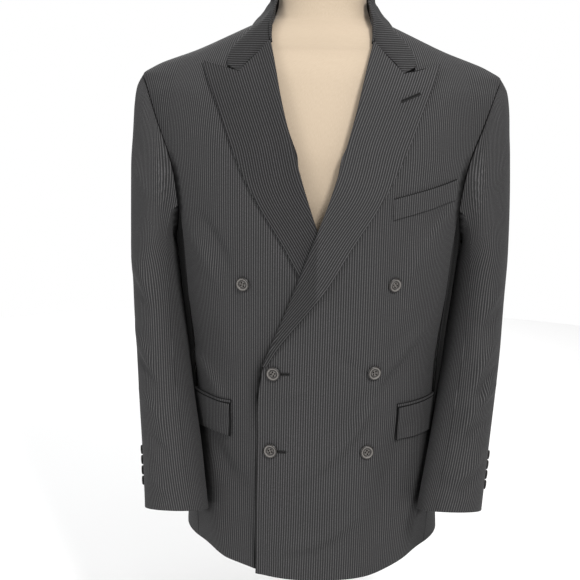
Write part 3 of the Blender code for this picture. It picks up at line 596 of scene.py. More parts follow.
def refine(points, cell, least=(1, 1), nearEdge=(0.0,), creases=(), exact=()):
    knots = [knotsAlong(points, axis) for axis in (0, 1)]
    rows, columns = [finePlaces(knots[axis], cell, least[axis], nearEdge) for axis in (0, 1)]
    rowWeights = creasedWeights(knots[0], rows, ())
    columnWeights = creasedWeights(knots[1], columns, creases)
    straight, off = curvedThrough(points, rowWeights, columnWeights, cloth["curveLimit"])
    bend = np.ones(len(rows))
    for end in exact:           # a border that must meet another one stays as it is
        bend *= smooth(np.abs(rows - rows[end]), 0.0, cloth["exactReach"])
    return straight + off * bend[:, None, None]


def normalsOf(grid, facing):
    across = np.gradient(grid, axis=1)
    up = np.gradient(grid, axis=0)
    normal = np.cross(across, up) * facing
    return normal / lengthsOf(normal)


def edgeDistances(grid):
    # how far each point lies from the four borders, along the cloth
    up, across = lineLength(grid, 0), lineLength(grid, 1)
    return [up, up[-1:] - up, across, across[:, -1:] - across]


def edgeLooks(distances, kinds):
    # how far the outer side turns down at the borders, and how much painted shade darkens it there
    dip = shade = 0.0
    for away, kind in zip(distances, kinds):
        depth, reach, dark, darkReach = cloth["borders"][kind]
        t = np.clip(1.0 - away / reach, 0.0, 1.0)
        dip = np.maximum(dip, depth * (1.0 - np.sqrt(np.maximum(1.0 - t * t, 0.0))))
        shade = np.maximum(shade, dark * smooth(-away, -darkReach, 0.0))
    return dip, shade


def edgeLift(distances, heights, lifts, side):
    # a loose edge stands off what it lies on
    fade = cloth["liftFade"]
    lift = np.zeros(heights.shape)
    for border, onSide, low, high, most, reach in lifts:
        if onSide in (0.0, side):
            inside = np.clip((heights - low) / fade, 0.0, 1.0) * np.clip((high - heights) / fade, 0.0, 1.0)
            lift += most * smooth(-distances[border], -reach, 0.0) * inside
    return lift


def markShade(distances, marks, side):
    # painted shadow: a dark line along part of a border
    shade = 0.0
    for border, onSide, dark, reach, other, low, high in marks:
        if onSide in (0.0, side):
            inside = (distances[other] > low) & (distances[other] < high)
            shade = np.maximum(shade, dark * inside * smooth(-distances[border], -reach, -reach * 0.5))
    return shade


def coarseCloth(node, kind, side):
    if node not in coarse:
        coarse[node] = refine(wallOf(node, kind, side)[0], nearby["cell"]).reshape(-1, 3)
    return coarse[node]


def inFront(grid):
    return smooth(-grid[..., 1], *nearby["front"])


def nearShade(grid, kind, side):
    # painted shade: the sleeve and the body are painted darker where they come close, below the armhole
    if kind not in nearby["pairs"]:
        return 0.0
    ending = "_left" if side > 0.0 else "_right"
    others = np.concatenate([coarseCloth(other + ending, other, side) for other in nearby["pairs"][kind]])
    gaps = np.empty(grid.shape[:2])
    for i, line in enumerate(grid):
        gaps[i] = np.sqrt(((line[:, None] - others) ** 2).sum(axis=2).min(axis=1))
    low, high = nearby["reach"][kind]
    top = nearby["top"]
    below = smooth(hem - grid[..., 2], -top, nearby["topFade"] - top)
    return nearby["dark"] * smooth(-gaps, -high, -low) * below * inFront(grid)


def behindShade(grid, side):
    # a painted shadow: a dark line on what passes behind the sleeve's edge
    line = np.array(behind["left" if side > 0.0 else "right"])[::-1]
    height = grid[..., 2] - hem
    past = (grid[..., 0] - np.interp(height, line[:, 1], line[:, 0])) * side
    across = smooth(past, -behind["soft"], 0.0) * smooth(-past, -behind["reach"], -behind["reach"] * 0.7)
    ends = smooth(height, *behind["low"]) * (1.0 - smooth(height, *behind["top"]))
    return behind["dark"] * across * ends * inFront(grid)


def lapShade(grid, side):
    # painted shadow: the upper front's edge throws a thin dark line on the lower front, and a soft one near
    # the break
    height = grid[..., 2] - hem
    if side > 0.0:
        upperEdge["line"] = (height[:, 0], grid[:, 0, 0])
        return 0.0
    off = np.interp(height, *upperEdge["line"]) - grid[..., 0]
    line = lap["dark"] * np.exp(-((off - lap["place"]) / lap["width"]) ** 2) * (height < lap["top"])
    up = (height - lap["softAt"]) / lap["softHigh"]
    return np.maximum(line, lap["softDark"] * np.exp(-(off / lap["softWidth"]) ** 2 - up ** 2))


def closeSeams(inner, kinds):
    # inside, a seam's two edges meet, so no light passes
    out = inner.copy()
    for border, kind in enumerate(kinds):
        if kind in cloth["meets"]:
            edge, beside = ((0, 1), (-1, -2))[border % 2]
            if border > 1:
                edge, beside = np.s_[:, edge], np.s_[:, beside]
            away = inner[edge] - inner[beside]
            out[edge] += away / lengthsOf(away) * cloth["meets"][kind]
    return out


def clothShell(name, outer, inner, grain, shade, lined, facing, materials):
    # a flat sheet with a back and a rim, whose points are then laid in place
    rows, columns = outer.shape[0] - 1, outer.shape[1] - 1
    bm = bmesh.new()
    bmesh.ops.create_grid(bm, x_segments=columns, y_segments=rows, size=1.0)
    bmesh.ops.solidify(bm, geom=bm.faces[:], thickness=1.0)
    if len(materials) > 1:
        for face in bm.faces:
            if all(vert.co.z < -0.5 for vert in face.verts):
                place = (face.calc_center_median() + Vector((1.0, 1.0, 0.0))) / 2.0
                at = round(place.y * rows - 0.5), round(place.x * columns - 0.5)
                face.material_index = int(lined[at])
    if facing < 0.0:
        bmesh.ops.reverse_faces(bm, faces=bm.faces[:])
    piece = addPiece(name, bm, *materials)
    mesh = piece.data
    flat = np.empty(len(mesh.vertices) * 3)
    mesh.vertices.foreach_get("co", flat)
    flat = flat.reshape(-1, 3)
    column = np.rint((flat[:, 0] + 1.0) / 2.0 * columns).astype(int)
    row = np.rint((flat[:, 1] + 1.0) / 2.0 * rows).astype(int)
    back = flat[:, 2:] < -0.5
    mesh.vertices.foreach_set("co", np.where(back, inner[row, column], outer[row, column]).ravel())
    corners = np.empty(len(mesh.loops), int)
    mesh.loops.foreach_get("vertex_index", corners)
    mesh.uv_layers.new(name="grain").data.foreach_set("uv", grain[row, column][corners].ravel())
    # the painted shade and shadow of each point, which darken the cloth's colour
    shades = mesh.attributes.new("paintedShade", "FLOAT", "POINT")
    shades.data.foreach_set("value", shade[row, column].astype(np.float32))
    mesh.update()
    return piece


# Folds and drape. Each soft fold, in millimetres: x and height of its start and of its end,
# sideways bow, width, and height of the ridge, less than nothing for a trough. Heights are
# above the hem.
folds = {
    "front": (
        (150, 345, 83, 262, 6, 8, 1.5), (86, 266, -20, 140, -12, 9.5, 1.7),
        (120, 300, 30, 196, 4, 11, -1.2), (75, 98, -52, 36, -10, 10, 1.3),
        (60, 70, -30, 26, -6, 10, -0.9), (176, 520, 140, 452, 4, 6.5, -1.5),
        (166, 500, 124, 412, 5, 8, 1.4), (128, 210, 88, 30, 6, 16, -1.8),
        (150, 180, 134, 10, -4, 15, 1.5), (-160, 500, -120, 430, -4, 8.5, -1.2),
        (-172, 470, -130, 395, -4, 9, 1.0), (-176, 300, -120, 225, -6, 10, 1.1),
        (-150, 205, -98, 120, 5, 12, -1.1), (-140, 150, -122, 0, 4, 16, 1.6),
        (-98, 140, -90, 0, -3, 15, -1.2), (20, 330, 75, 290, 3, 7, -0.8),
        (-10, 270, -50, 250, 3, 7, 0.7),
    ),
    "back": (
        (0, 645, 52, 560, 8, 12, 1.2), (-10, 640, -66, 548, -9, 13, 1.3),
        (168, 520, 92, 430, 10, 12, 1.8), (164, 482, 100, 400, 8, 11, -1.6),
        (-170, 530, -98, 446, -9, 12, 1.7), (-160, 484, -86, 405, -10, 11, -1.5),
        (-20, 360, 70, 318, 10, 13, 1.5), (4, 325, 86, 292, 8, 11, -1.3),
        (-16, 330, -88, 284, -9, 13, 1.4), (62, 240, 86, 0, 6, 19, 2.0),
        (28, 200, 36, 0, 4, 17, -1.7), (-50, 250, -70, 0, -5, 20, 1.8),
        (-104, 210, -122, 0, -4, 16, -1.6), (130, 200, 140, 0, 3, 17, -1.4),
    ),
    "leftSleeve": (
        (252, 318, 222, 262, 6, 6, 2.2), (258, 292, 226, 236, 6, 5.5, -2.2),
        (256, 262, 205, 202, 10, 6.5, 2.3), (244, 222, 198, 184, 6, 5.5, -1.9),
        (232, 180, 182, 150, -8, 7, 2.0), (226, 160, 186, 132, -7, 6, -1.5),
        (262, 400, 232, 352, 4, 8.5, 1.5), (262, 372, 236, 326, 4, 7.5, -1.6),
        (266, 600, 238, 540, -6, 10, 1.2), (250, 555, 262, 470, 4, 10, -1.2),
    ),
    "rightSleeve": (
        (-262, 330, -226, 270, -6, 7.5, 1.7), (-258, 298, -222, 250, -5, 6.5, -1.6),
        (-250, 246, -204, 196, -8, 7, 1.6), (-236, 196, -196, 160, -5, 6.5, -1.3),
        (-262, 430, -230, 372, -5, 9, 1.5), (-266, 402, -238, 350, -4, 8, -1.5),
        (-264, 590, -236, 520, 6, 10.5, 1.2), (-250, 540, -264, 455, -4, 10, -1.1),
        (-232, 150, -190, 126, 5, 7, 1.2),
    ),
    "leftSleeveBack": (
        (268, 420, 224, 372, 6, 8, 2.0), (266, 390, 220, 346, 5, 7, -2.0),
        (262, 350, 212, 318, 6, 7.5, 1.7), (270, 560, 236, 500, -6, 11, 1.3),
        (246, 250, 206, 222, 4, 8.5, 1.3),
    ),
    "rightSleeveBack": (
        (-266, 436, -222, 380, -6, 8.5, 1.9), (-268, 398, -224, 350, -5, 7, -1.9),
        (-260, 356, -208, 330, -6, 8, 1.6), (-268, 580, -238, 510, 6, 11, 1.2),
        (-244, 262, -204, 228, -4, 8, 1.2),
    ),
}

foldLook = {
    "strength": {"front": 3.4, "back": 3.0},    # of the body's folds
    "sleeveStrength": 2.5,
    "steep": 0.8,               # a fold's one side is this much of its width, and steeper
    "gentle": 1.35,
    "end": 0.08,                # a fold goes on past each end by this share of its length
    "full": 0.8,                # less keeps it high for more of its length
    "seen": (0.05, 0.50),       # how far the cloth must turn to a fold's view to take it
}

# A little more fullness where the body and the under sleeve face each other, so that no
# light shows between them: height, spread, and most on the left and on the right.
fullness = {"side": (0.272, 0.080, 0.0062, 0.0042), "sleeve_under": (0.272, 0.070, 0.0020, 0.0010)}

# Painted shade where the sleeve and the body come close: gap in metres from fully dark to not dark.
nearby = {
    "pairs": {
        "front": ("sleeve_under", "sleeve_top"),
        "side": ("sleeve_under",),
        "sleeve_under": ("front", "side"),
    },
    "cell": 0.012,
    "reach": {"front": (0.006, 0.016), "side": (0.014, 0.034), "sleeve_under": (0.003, 0.011)},
    "dark": 0.96,
    "top": 0.60,
    "topFade": 0.05,
    "front": (0.018, 0.045),    # from this far in front of the axis on
}
coarse = {}                     # the points of the walls that are measured to

# Where the front passes behind the sleeve's edge, with a painted shadow along it: (x, height) down each
# side.
behind = {
    "left": ((0.180, 0.300), (0.174, 0.251), (0.167, 0.206), (0.161, 0.162), (0.154, 0.113),
             (0.1505, 0.080)),
    "right": ((-0.174, 0.290), (-0.172, 0.245), (-0.159, 0.199), (-0.152, 0.136), (-0.1455, 0.078)),
    "pieces": ("front", "side", "pocket_flap"),
    "soft": 0.0026, "dark": 0.92, "reach": 0.016, "top": (0.275, 0.295), "low": (0.064, 0.076),
}

# The painted shadow, a dark line, beside the upper front's free edge.
lap = {
    "dark": 1.0, "place": 0.0010, "width": 0.0016, "top": 0.292,
    "softDark": 0.80, "softWidth": 0.009, "softAt": 0.280, "softHigh": 0.050,
}
upperEdge = {}                  # heights and x of that edge, once the upper front is made

# Slow unevenness of the whole cloth: waves along x, y and z, in radians a metre, and height.
waves = (
    ((23.0, 11.0, 15.0), 0.3, 0.00030),
    ((-17.0, 19.0, 27.0), 1.9, 0.00028),
    ((41.0, -13.0, 21.0), 4.1, 0.00018),
    ((-9.0, 37.0, -33.0), 2.6, 0.00018),
    ((57.0, 29.0, -43.0), 5.2, 0.00010),
)


def foldHeight(points, normals, name, towards):
    # the folds that are seen from the front or from behind, on the cloth that faces that way
    x, height = points[..., 0], points[..., 2] - hem
    end = foldLook["end"]
    total = np.zeros(x.shape)
    for fold in folds[name]:
        startX, startUp, endX, endUp, bow, width, ridge = np.array(fold) * 0.001
        way = np.array((endX - startX, endUp - startUp))
        length = np.hypot(*way)
        way = way / length
        along = ((x - startX) * way[0] + (height - startUp) * way[1]) / length
        off = (x - startX) * way[1] - (height - startUp) * way[0]
        t = np.clip(along, 0.0, 1.0)
        off = off - bow * 4.0 * t * (1.0 - t)
        past = (along - t) * length
        fade = np.sin(np.pi * np.clip(along * (1.0 - 2.0 * end) + end, 0.0, 1.0)) ** foldLook["full"]
        reach = width * np.where(off > 0.0, foldLook["gentle"], foldLook["steep"])
        total += ridge * fade * np.exp(-(off / reach) ** 2 - (past / width) ** 2)
    strength = foldLook["strength"].get(name, foldLook["sleeveStrength"])
    return total * strength * smooth(normals[..., 1] * towards, *foldLook["seen"])


def drape(points, normals, kind, side):
    total = 0.0
    for turns, phase, height in waves:
        total = total + height * np.sin(points @ np.array(turns) + phase)
    sleeve = "leftSleeve" if side > 0.0 else "rightSleeve"
    views = {"body": ("front", "back"), "sleeve": (sleeve, sleeve + "Back"), "none": ()}
    for name, towards in zip(views[pieces[kind]["part"]], (-1.0, 1.0)):
        total = total + foldHeight(points, normals, name, towards)
    if kind in fullness:
        middle, spread, *most = fullness[kind]
        near = np.exp(-((points[..., 2] - hem - middle) / spread) ** 2)
        towards = side if kind == "side" else -side
        facing = np.clip(normals[..., 0] * towards, 0.0, 1.0) ** 2
        total = total + most[0 if side > 0.0 else 1] * near * facing
    return total


# the grain: stripes run along it
grainLook = {
    "leanFrom": 0.585,          # above here the stripes lean to the neck
    "leanCurve": 1.05,
    "lapelFrom": (0.50, 0.60),  # a lapel's stripes run straight on above here
    "lapelSlope": 0.37,
    "sleeveFrom": 0.50,         # and a sleeve's over its cap
    "sleeveLean": 0.15,         # the way the arm leans over this length below
    "collarTurns": (0.110, 0.165),  # from the centre back, the stripes turn level here
    "collarRise": 1.12,         # and are this much closer together in height
}
sleeveSeams = {}                # the grain along each top sleeve's front seam


def goingOn(x, xs, us, slope):
    # read off between known places, and straight on past both ends
    return np.interp(x, xs, us) + slope * (np.minimum(x - xs[0], 0.0) + np.maximum(x - xs[-1], 0.0))


def bodyGrain(grid, side, start):
    # round the body from its front centre, and up
    across = lineLength(grid, 1, level=True)
    across = (grid[:, :1, 0] * side if start is None else start) + across
    height = grid[..., 2] - hem
    level = int(np.searchsorted(height[:, 0], grainLook["leanFrom"])) - 1
    if 0 < level < len(grid) - 1:
        xs, us = grid[level, :, 0] * side, across[level]
        order = np.argsort(xs)
        xs, us = xs[order], us[order]
        above = slice(level + 1, None)
        lean = grainLook["leanCurve"] * np.maximum(height[above] - height[level, 0], 0.0) ** 2
        across[above] = goingOn(grid[above, :, 0] * side + lean, xs, us, np.sign(us[-1] - us[0]))
    return np.stack((across, height), axis=2)


def pieceGrain(grid, side, start):
    across = grid[:, :1, 0] + lineLength(grid, 1, level=True) * np.sign(grid[0, -1, 0] - grid[0, 0, 0])
    return np.stack((across * side, grid[..., 2] - hem), axis=2)


def lapelGrain(grid, side, start):
    # along the free edge, and straight on towards the collar
    across = lineLength(grid, 1)
    across = across - across[:, -1:]
    low, high = grainLook["lapelFrom"]
    height = grid[:, -1, 2] - hem
    level = int(np.searchsorted(height, low))
    seen = roll["columns"] + roll["flatFrom"]
    out, up = (grid[..., 0] - grid[level, -1, 0]) * side, grid[..., 2] - grid[level, -1, 2]
    off = out - grainLook["lapelSlope"] * up
    offs, us = off[level, seen:], across[level, seen:]
    slope = (us[-1] - us[0]) / (offs[-1] - offs[0])
    straight = goingOn(off, offs, us, slope)
    straight[:, :seen] = straight[:, seen:seen + 1] + across[:, :seen] - across[:, seen:seen + 1]
    share = smooth(height, low, high)[:, None]
    return np.stack((across + (straight - across) * share, lineLength(grid, 0)), axis=2)


def collarGrain(grid, side, start):
    # down the fall at the centre back, and level across both ends
    middle = grid.shape[1] // 2
    along = lineLength(grid, 0)[:, middle]
    along = along - along[-1] / 2.0
    low, high = grainLook["collarTurns"]
    out = np.empty(grid.shape[:2])
    for sign in (-1.0, 1.0):
        half = along * sign >= 0.0
        turn = int(np.argmin(np.abs(along * sign - (low + high) / 2.0)))
        drop = grid[turn, middle, 2] - grid[half][..., 2]
        level = along[turn] + sign * drop * grainLook["collarRise"]
        share = smooth(along[half] * sign, low, high)[:, None]
        out[half] = along[half][:, None] * (1.0 - share) + level * share
    return np.stack((out, lineLength(grid, 1)), axis=2)


def sleeveGrain(grid, side, start):
    across = lineLength(grid, 1)
    height = grid[..., 2] - hem
    if start == "seam":
        # on from the top sleeve's stripes, round the inside of the arm
        seamHeights, seamGrain = sleeveSeams[side]
        across = np.interp(height[:, 0], seamHeights, seamGrain)[:, None] - across
        return np.stack((across, height), axis=2)
    # the middle stripe runs straight down the front of the arm
    outward = grid[..., 0] * side
    outermost = outward.argmax(axis=1)
    middles = []
    for i, most in enumerate(outermost):
        half = (outward[i, 0] + outward[i, most]) / 2.0
        middles.append(np.interp(half, outward[i, :most + 1], across[i, :most + 1]))
    heights = height.mean(axis=1)
    across = across - np.polyval(np.polyfit(heights, middles, 3), heights)[:, None]
    level = int(np.argmin(np.abs(heights - grainLook["sleeveFrom"])))
    lower = int(np.argmin(np.abs(heights - grainLook["sleeveFrom"] + grainLook["sleeveLean"])))
    lean = grid[level].mean(axis=0) - grid[lower].mean(axis=0)
    # over the cap each point takes the stripe below it, along that lean
    above = grid[level + 1:]
    placed = above[..., :2] - lean[:2] / lean[2] * (above[..., 2:] - grid[level, :, 2].mean())
    starts, steps = grid[level, :-1, :2], np.diff(grid[level, :, :2], axis=0)
    gaps = placed[:, :, None] - starts
    share = (gaps * steps).sum(axis=3) / (steps ** 2).sum(axis=1)
    share[..., 1:-1] = np.clip(share[..., 1:-1], 0.0, 1.0)
    share[..., 0] = np.minimum(share[..., 0], 1.0)
    share[..., -1] = np.maximum(share[..., -1], 0.0)
    away = np.linalg.norm(gaps - share[..., None] * steps, axis=3)
    best = away.argmin(axis=2)
    part = np.take_along_axis(share, best[..., None], axis=2)[..., 0]
    across[level + 1:] = across[level, best] + part * np.diff(across[level])[best]
    sleeveSeams[side] = (height[:, 0], across[:, 0])
    return np.stack((across, height), axis=2)


# the blazer's pieces
cloth = {
    "thickness": 0.0018,
    "cell": 0.0040,
    "nearEdge": (0.0, 0.00035, 0.0008, 0.0014, 0.0022),
    "curveLimit": 0.003,        # how far the cloth may curve off its wall
    "exactReach": 0.012,        # how soon it may do so beside a border that stays as it is
    "liftFade": 0.03,           # how soon the lift of a loose edge begins and ends
    # depth and reach of each kind of border, how dark the painted shade in its fold is and how far that
    # reaches
    "borders": {
        "free": (0.0010, 0.0018, 0.0, 0.001),
        "seam": (0.0008, 0.0014, 0.75, 0.0013),
        "flatSeam": (0.0003, 0.0012, 0.15, 0.0010),
        "joined": (0.0, 0.001, 0.0, 0.001),
        "tucked": (0.0003, 0.0012, 0.15, 0.0010),
        "armhole": (0.0011, 0.0022, 1.0, 0.0020),
        "opening": (0.0007, 0.0013, 1.0, 0.0014),
        "hidden": (0.0, 0.001, 0.0, 0.001),
    },
    # how far its inner edge goes to meet the next piece
    "meets": {"seam": 0.00017, "flatSeam": 0.00017, "joined": 0.00017, "armhole": 0.00045,
              "tucked": 0.0034},
}

# cells: rows and columns of the wall. home and second: which way its first corner and the
# far end of its first row lie, on the wearer's left. borders: first row, last row, first
# column, last column. flat: width and length of the cut, and area its share of the cloth.
# lifts: border, side or 0, lowest and highest height, how far off, reach. marks, lines of painted shadow:
# border, side or 0, dark, reach, another border, and from and to how far from that one.
# tone: painted shade, how much darker the whole piece is painted for how light falls on it, on the left and
# on the right.
pieces = {
    "front": {
        "cells": (24, 9), "borders": ("free", "seam", "free", "seam"), "flat": (0.37, 0.79), "area": 0.190,
        "lifts": ((2, 1.0, -0.1, 0.285, 0.0014, 0.014), (2, 1.0, 0.20, 0.285, 0.0016, 0.024)),
        "marks": ((2, 1.0, 0.85, 0.0010, 0, -1.0, 0.29),),
    },
    "side": {
        "cells": (11, 8), "home": (0, -1, -1), "second": (0, 1, -1), "start": 0.235,
        "borders": ("free", "seam", "seam", "seam"), "flat": (0.16, 0.53), "area": 0.066,
    },
    "back": {
        "cells": (24, 7), "home": (1, 0, -1), "second": (0, 0, -1), "start": 0.40,
        "borders": ("free", "seam", "seam", "seam"), "flat": (0.28, 0.79), "area": 0.162,
    },
    "sleeve_top": {
        "cells": (13, 13), "home": (0, -1, -1), "second": (0, 0, -1), "part": "sleeve",
        "borders": ("free", "armhole", "joined", "seam"), "flat": (0.26, 0.66), "area": 0.104,
        "grain": sleeveGrain, "tone": (0.06, 0.0),
    },
    "sleeve_under": {
        "cells": (13, 11), "home": (0, -1, -1), "second": (0, 0, -1), "part": "sleeve",
        "borders": ("free", "armhole", "joined", "seam"), "flat": (0.22, 0.58), "area": 0.081,
        "grain": sleeveGrain, "start": "seam",
    },
    "lapel": {
        "cells": (14, 6), "home": (-1, 0, -2), "grain": lapelGrain, "least": (1, 2),
        "borders": ("free", "flatSeam", "hidden", "free"), "flat": (0.125, 0.49), "area": 0.028,
        "marks": ((1, 1.0, 1.0, 0.0020, 3, 0.027, 0.046), (1, -1.0, 0.6, 0.0014, 3, 0.027, 0.044)),
        "lifts": ((3, 0.0, 0.30, 0.64, 0.0010, 0.012), (3, 0.0, 0.31, 0.46, 0.0024, 0.026)),
        "tone": (0.03, 0.27), "creases": (4,), "exact": (-1,),
    },
    "pocket_flap": {
        "cells": (3, 9), "grain": pieceGrain, "least": (2, 2),
        "borders": ("free", "opening", "free", "free"), "flat": (0.135, 0.050), "area": 0.0062,
        "lifts": ((0, 0.0, -1.0, 1.0, 0.0010, 0.020), (2, 1.0, -1.0, 1.0, 0.0016, 0.016),
                  (3, -1.0, -1.0, 1.0, 0.0016, 0.016)),
        "marks": ((2, 1.0, 0.95, 0.0022, 0, -1.0, 1.0), (3, -1.0, 0.95, 0.0022, 0, -1.0, 1.0)),
    },
    "pocket_jet": {
        "cells": (1, 9), "grain": pieceGrain, "least": (6, 2),
        "borders": ("opening", "opening", "seam", "seam"), "flat": (0.135, 0.010), "area": 0.0008,
    },
    "breast_welt": {
        "cells": (2, 6), "grain": pieceGrain, "least": (3, 2),
        "borders": ("flatSeam", "opening", "flatSeam", "flatSeam"), "flat": (0.105, 0.032), "area": 0.0029,
    },
    "collar": {
        "cells": (24, 11), "home": (-0.1, 0, 1), "second": (0, 0, -1), "part": "none", "grain": collarGrain,
        "borders": ("tucked", "tucked", "hidden", "free"), "flat": (0.46, 0.115), "area": 0.040,
        "marks": ((1, 0.0, 1.0, 0.0022, 3, -1.0, 0.020), (0, 0.0, 0.6, 0.0016, 3, -1.0, 0.020)),
        "lifts": ((3, 0.0, 0.0, 0.74, 0.0008, 0.012),), "tone": (0.18, 0.34),
        "least": (1, 3), "creases": (9,), "exact": (0, -1),
        "strays": ((-0.0655, -0.0751, 0.9352), (0.0655, -0.0751, 0.9352)),
    },
}
usual = {
    "home": (-1, 0, -1), "second": (1, 0, -1), "part": "body", "grain": bodyGrain, "start": None,
    "least": (1, 1), "tone": (0.0, 0.0), "lifts": (), "marks": (), "creases": (), "exact": (), "strays": (),
}
for kind, facts in pieces.items():
    pieces[kind] = {**usual, **facts}

# A lapel turns over at its roll line, and the front's edge stays inside the turn.
roll = {
    "radius": 0.0036,
    "beyond": 0.0012,           # how far the turn stands past the roll line
    "turned": 158.0,
    "columns": 11,
    "flatFrom": 6,              # columns past the turn before the lapel lies flat
    "startsAt": 0.10,           # share of the full radius at the break
    "fullAfter": 0.060,
    "frontStaysBack": 0.0046,
    "staysBackAt": (0.304, 0.334, 0.742, 0.762),    # from here, fully, and to here
}

laid = []                       # each piece's points and how far its folds move them


def curlRoll(grid, normals):
    # the lapel's inner edge runs round a turn that grows upward from the break
    away = lineLength(grid, 1)
    up = lineLength(grid, 0)[:, :1]
    grown = np.clip(up / roll["fullAfter"], 0.0, 1.0)
    radius = roll["radius"] * (roll["startsAt"] + (1.0 - roll["startsAt"]) * grown * (2.0 - grown))
    begins = radius - roll["beyond"] * radius / roll["radius"]
    n = normals[:, 1:2]
    flat = roll["flatFrom"]
    t = grid[:, :1] - grid[:, flat:flat + 1]
    t = t - n * (t * n).sum(axis=2, keepdims=True)
    t = t / lengthsOf(t)
    origin = grid[:, :1] - t * begins[..., None]

    def around(gone):
        angle = (gone / radius)[..., None]
        sine, cosine = np.sin(angle), np.cos(angle)
        return origin + (t * sine - n * (1.0 - cosine)) * radius[..., None], n * cosine + t * sine

    kept, keptNormals = around(np.maximum(begins - away, 0.0))
    near = (away < begins)[..., None]
    grid = np.where(near, kept, grid)
    normals = np.where(near, keptNormals, normals)
    last = np.radians(roll["turned"]) * radius
    shares = np.linspace(1.0, 0.0, roll["columns"], endpoint=False)[None, :]
    extra, extraNormals = around(begins + (last - begins) * shares)
    return np.concatenate((extra, grid), axis=1), np.concatenate((extraNormals, normals), axis=1)


def holdBack(grid):
    # above the break a front's edge stays inside the turn of its lapel
    away = lineLength(grid, 1)
    most = roll["frontStaysBack"]
    back = np.interp(grid[:, 0, 2] - hem, roll["staysBackAt"], (0.0, most, most, 0.0))
    out = grid.copy()
    for i in range(len(grid)):
        whole = away[i, -1]
        places = back[i] + away[i] * (whole - back[i]) / whole
        for axis in range(3):
            out[i, :, axis] = np.interp(places, away[i], grid[i, :, axis])
    return out


# At the side of the neck the collar's fall lies close: inward and down in millimetres for
# each column of its wall, and how much of it each row takes, counted from either end.
settle = {
    "columns": ((3, 1.5, 2.0), (4, 2.5, 2.8), (5, 2.8, 2.8), (6, 3.0, 3.0), (7, 7.0, 6.0), (8, 8.6, 7.0),
                (9, 8.6, 5.8), (10, 6.6, 3.4), (11, 4.0, 1.8)),
    "rows": {3: 0.3, 4: 0.75, 5: 1.0, 6: 1.0, 7: 1.0, 8: 0.95, 9: 0.7, 10: 0.35},
    "ends": ((0, 3.2), (1, 2.4), (2, 1.2)),     # the stand's ends go out to the lapels' roll
}


def settleCollar(points):
    last = len(points) - 1
    for column, inward, down in settle["columns"]:
        for row, share in settle["rows"].items():
            for at in (row, last - row):
                points[at, column, 0] -= np.sign(points[at, column, 0]) * inward * 0.001 * share
                points[at, column, 2] -= down * 0.001 * share
    for row, outward in settle["ends"]:
        for at in (row, last - row):
            points[at, :6, 0] += np.sign(points[at, :6, 0]) * outward * 0.001
    return points


def makeClothPiece(node, kind, side, materials):
    facts = pieces[kind]
    points, facing = wallOf(node, kind, side)
    if kind == "collar":
        points = settleCollar(points)
    grid = refine(points, cloth["cell"], facts["least"], cloth["nearEdge"], facts["creases"],
                  facts["exact"])
    if kind == "front":
        grid = holdBack(grid)
    normals = normalsOf(grid, facing)
    if kind == "lapel":
        grid, normals = curlRoll(grid, normals)
    distances = edgeDistances(grid)
    lift = drape(grid, normals, kind, side)
    lift += edgeLift(distances, grid[..., 2] - hem, facts["lifts"], side)
    lift = lift[..., None] * normals
    dip, shade = edgeLooks(distances, facts["borders"])
    # painted shade and shadow from every source below; the darkest of them is kept
    shades = [markShade(distances, facts["marks"], side), nearShade(grid, kind, side)]
    # painted shade over the whole piece, for how light falls on its left and its right
    shades.append(np.where(grid[..., 0] > 0.0, *facts["tone"]))
    if kind in behind["pieces"]:
        shades.append(behindShade(grid, side))
    if kind == "front":
        shades.append(lapShade(grid, side))
    for darker in shades:
        shade = np.maximum(shade, darker)
    outer = grid + lift - normals * dip[..., None]
    inner = closeSeams(grid + lift - normals * cloth["thickness"], facts["borders"])
    grain = facts["grain"](grid, side, facts["start"])
    lined = distances[0] > liningLook["hem"]
    if kind == "front":
        lined &= distances[2] > liningLook["facing"]
    if kind not in ("front", "side", "back", "sleeve_top", "sleeve_under"):
        materials = materials[:1]
    piece = clothShell("cloth_" + node, outer, inner, grain, shade, lined, facing, materials)
    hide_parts(node)
    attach(piece, "root")
    laid.append((grid.reshape(-1, 3), lift.reshape(-1, 3)))


def makeBlazer(*materials):
    for kind in pieces:
        names = [kind] if kind in ("collar", "breast_welt") else [kind + "_left", kind + "_right"]
        for node in names:
            makeClothPiece(node, kind, -1.0 if node.endswith("right") else 1.0, materials)
        print("sewn", kind)


def turned(name, outline, steps, merge, material):
    # a half section of (radius, height), turned round the axis
    bm = bmesh.new()
    verts = [bm.verts.new((r, 0.0, z)) for r, z in outline]
    edges = [bm.edges.new(pair) for pair in zip(verts, verts[1:])]
    bmesh.ops.spin(bm, geom=verts + edges, cent=(0, 0, 0), axis=(0, 0, 1), angle=2.0 * math.pi,
                   steps=steps, use_merge=True)
    bmesh.ops.remove_doubles(bm, verts=bm.verts[:], dist=merge)
    bmesh.ops.recalc_face_normals(bm, faces=bm.faces[:])
    return addPiece(name, bm, material)


def plainMesh(holder, material):
    # the mesh of an object with its modifiers or its thickness, and with nothing left live
    mesh = bpy.data.meshes.new_from_object(holder.evaluated_get(bpy.context.evaluated_depsgraph_get()))
    bpy.data.objects.remove(holder)
    mesh.materials.clear()
    mesh.materials.append(material)
    return mesh


button = {
    "front": 0.0100,            # radius
    "cuff": 0.0066,
    "thickness": 0.36,          # of its radius
    "steps": 56,
    # half section of the dished face and its rim: shares of radius and thickness
    "face": ((0.0, 0.62), (0.22, 0.61), (0.38, 0.58), (0.46, 0.54), (0.54, 0.58), (0.62, 0.80), (0.70, 0.97),
             (0.78, 1.0), (0.86, 0.95), (0.95, 0.78), (1.0, 0.52), (0.985, 0.34), (0.92, 0.14), (0.80, 0.0)),
    "facePoints": 44,
    "holeAt": 0.19,
    "hole": 0.118,
    "strand": (0.18, 0.024, 0.06),      # half length, width and height
    "strandGap": 0.026,
    "strandHeight": 0.62,
    "strandDips": 0.20,         # into the holes at its ends
    "sharp": 50.0,
}


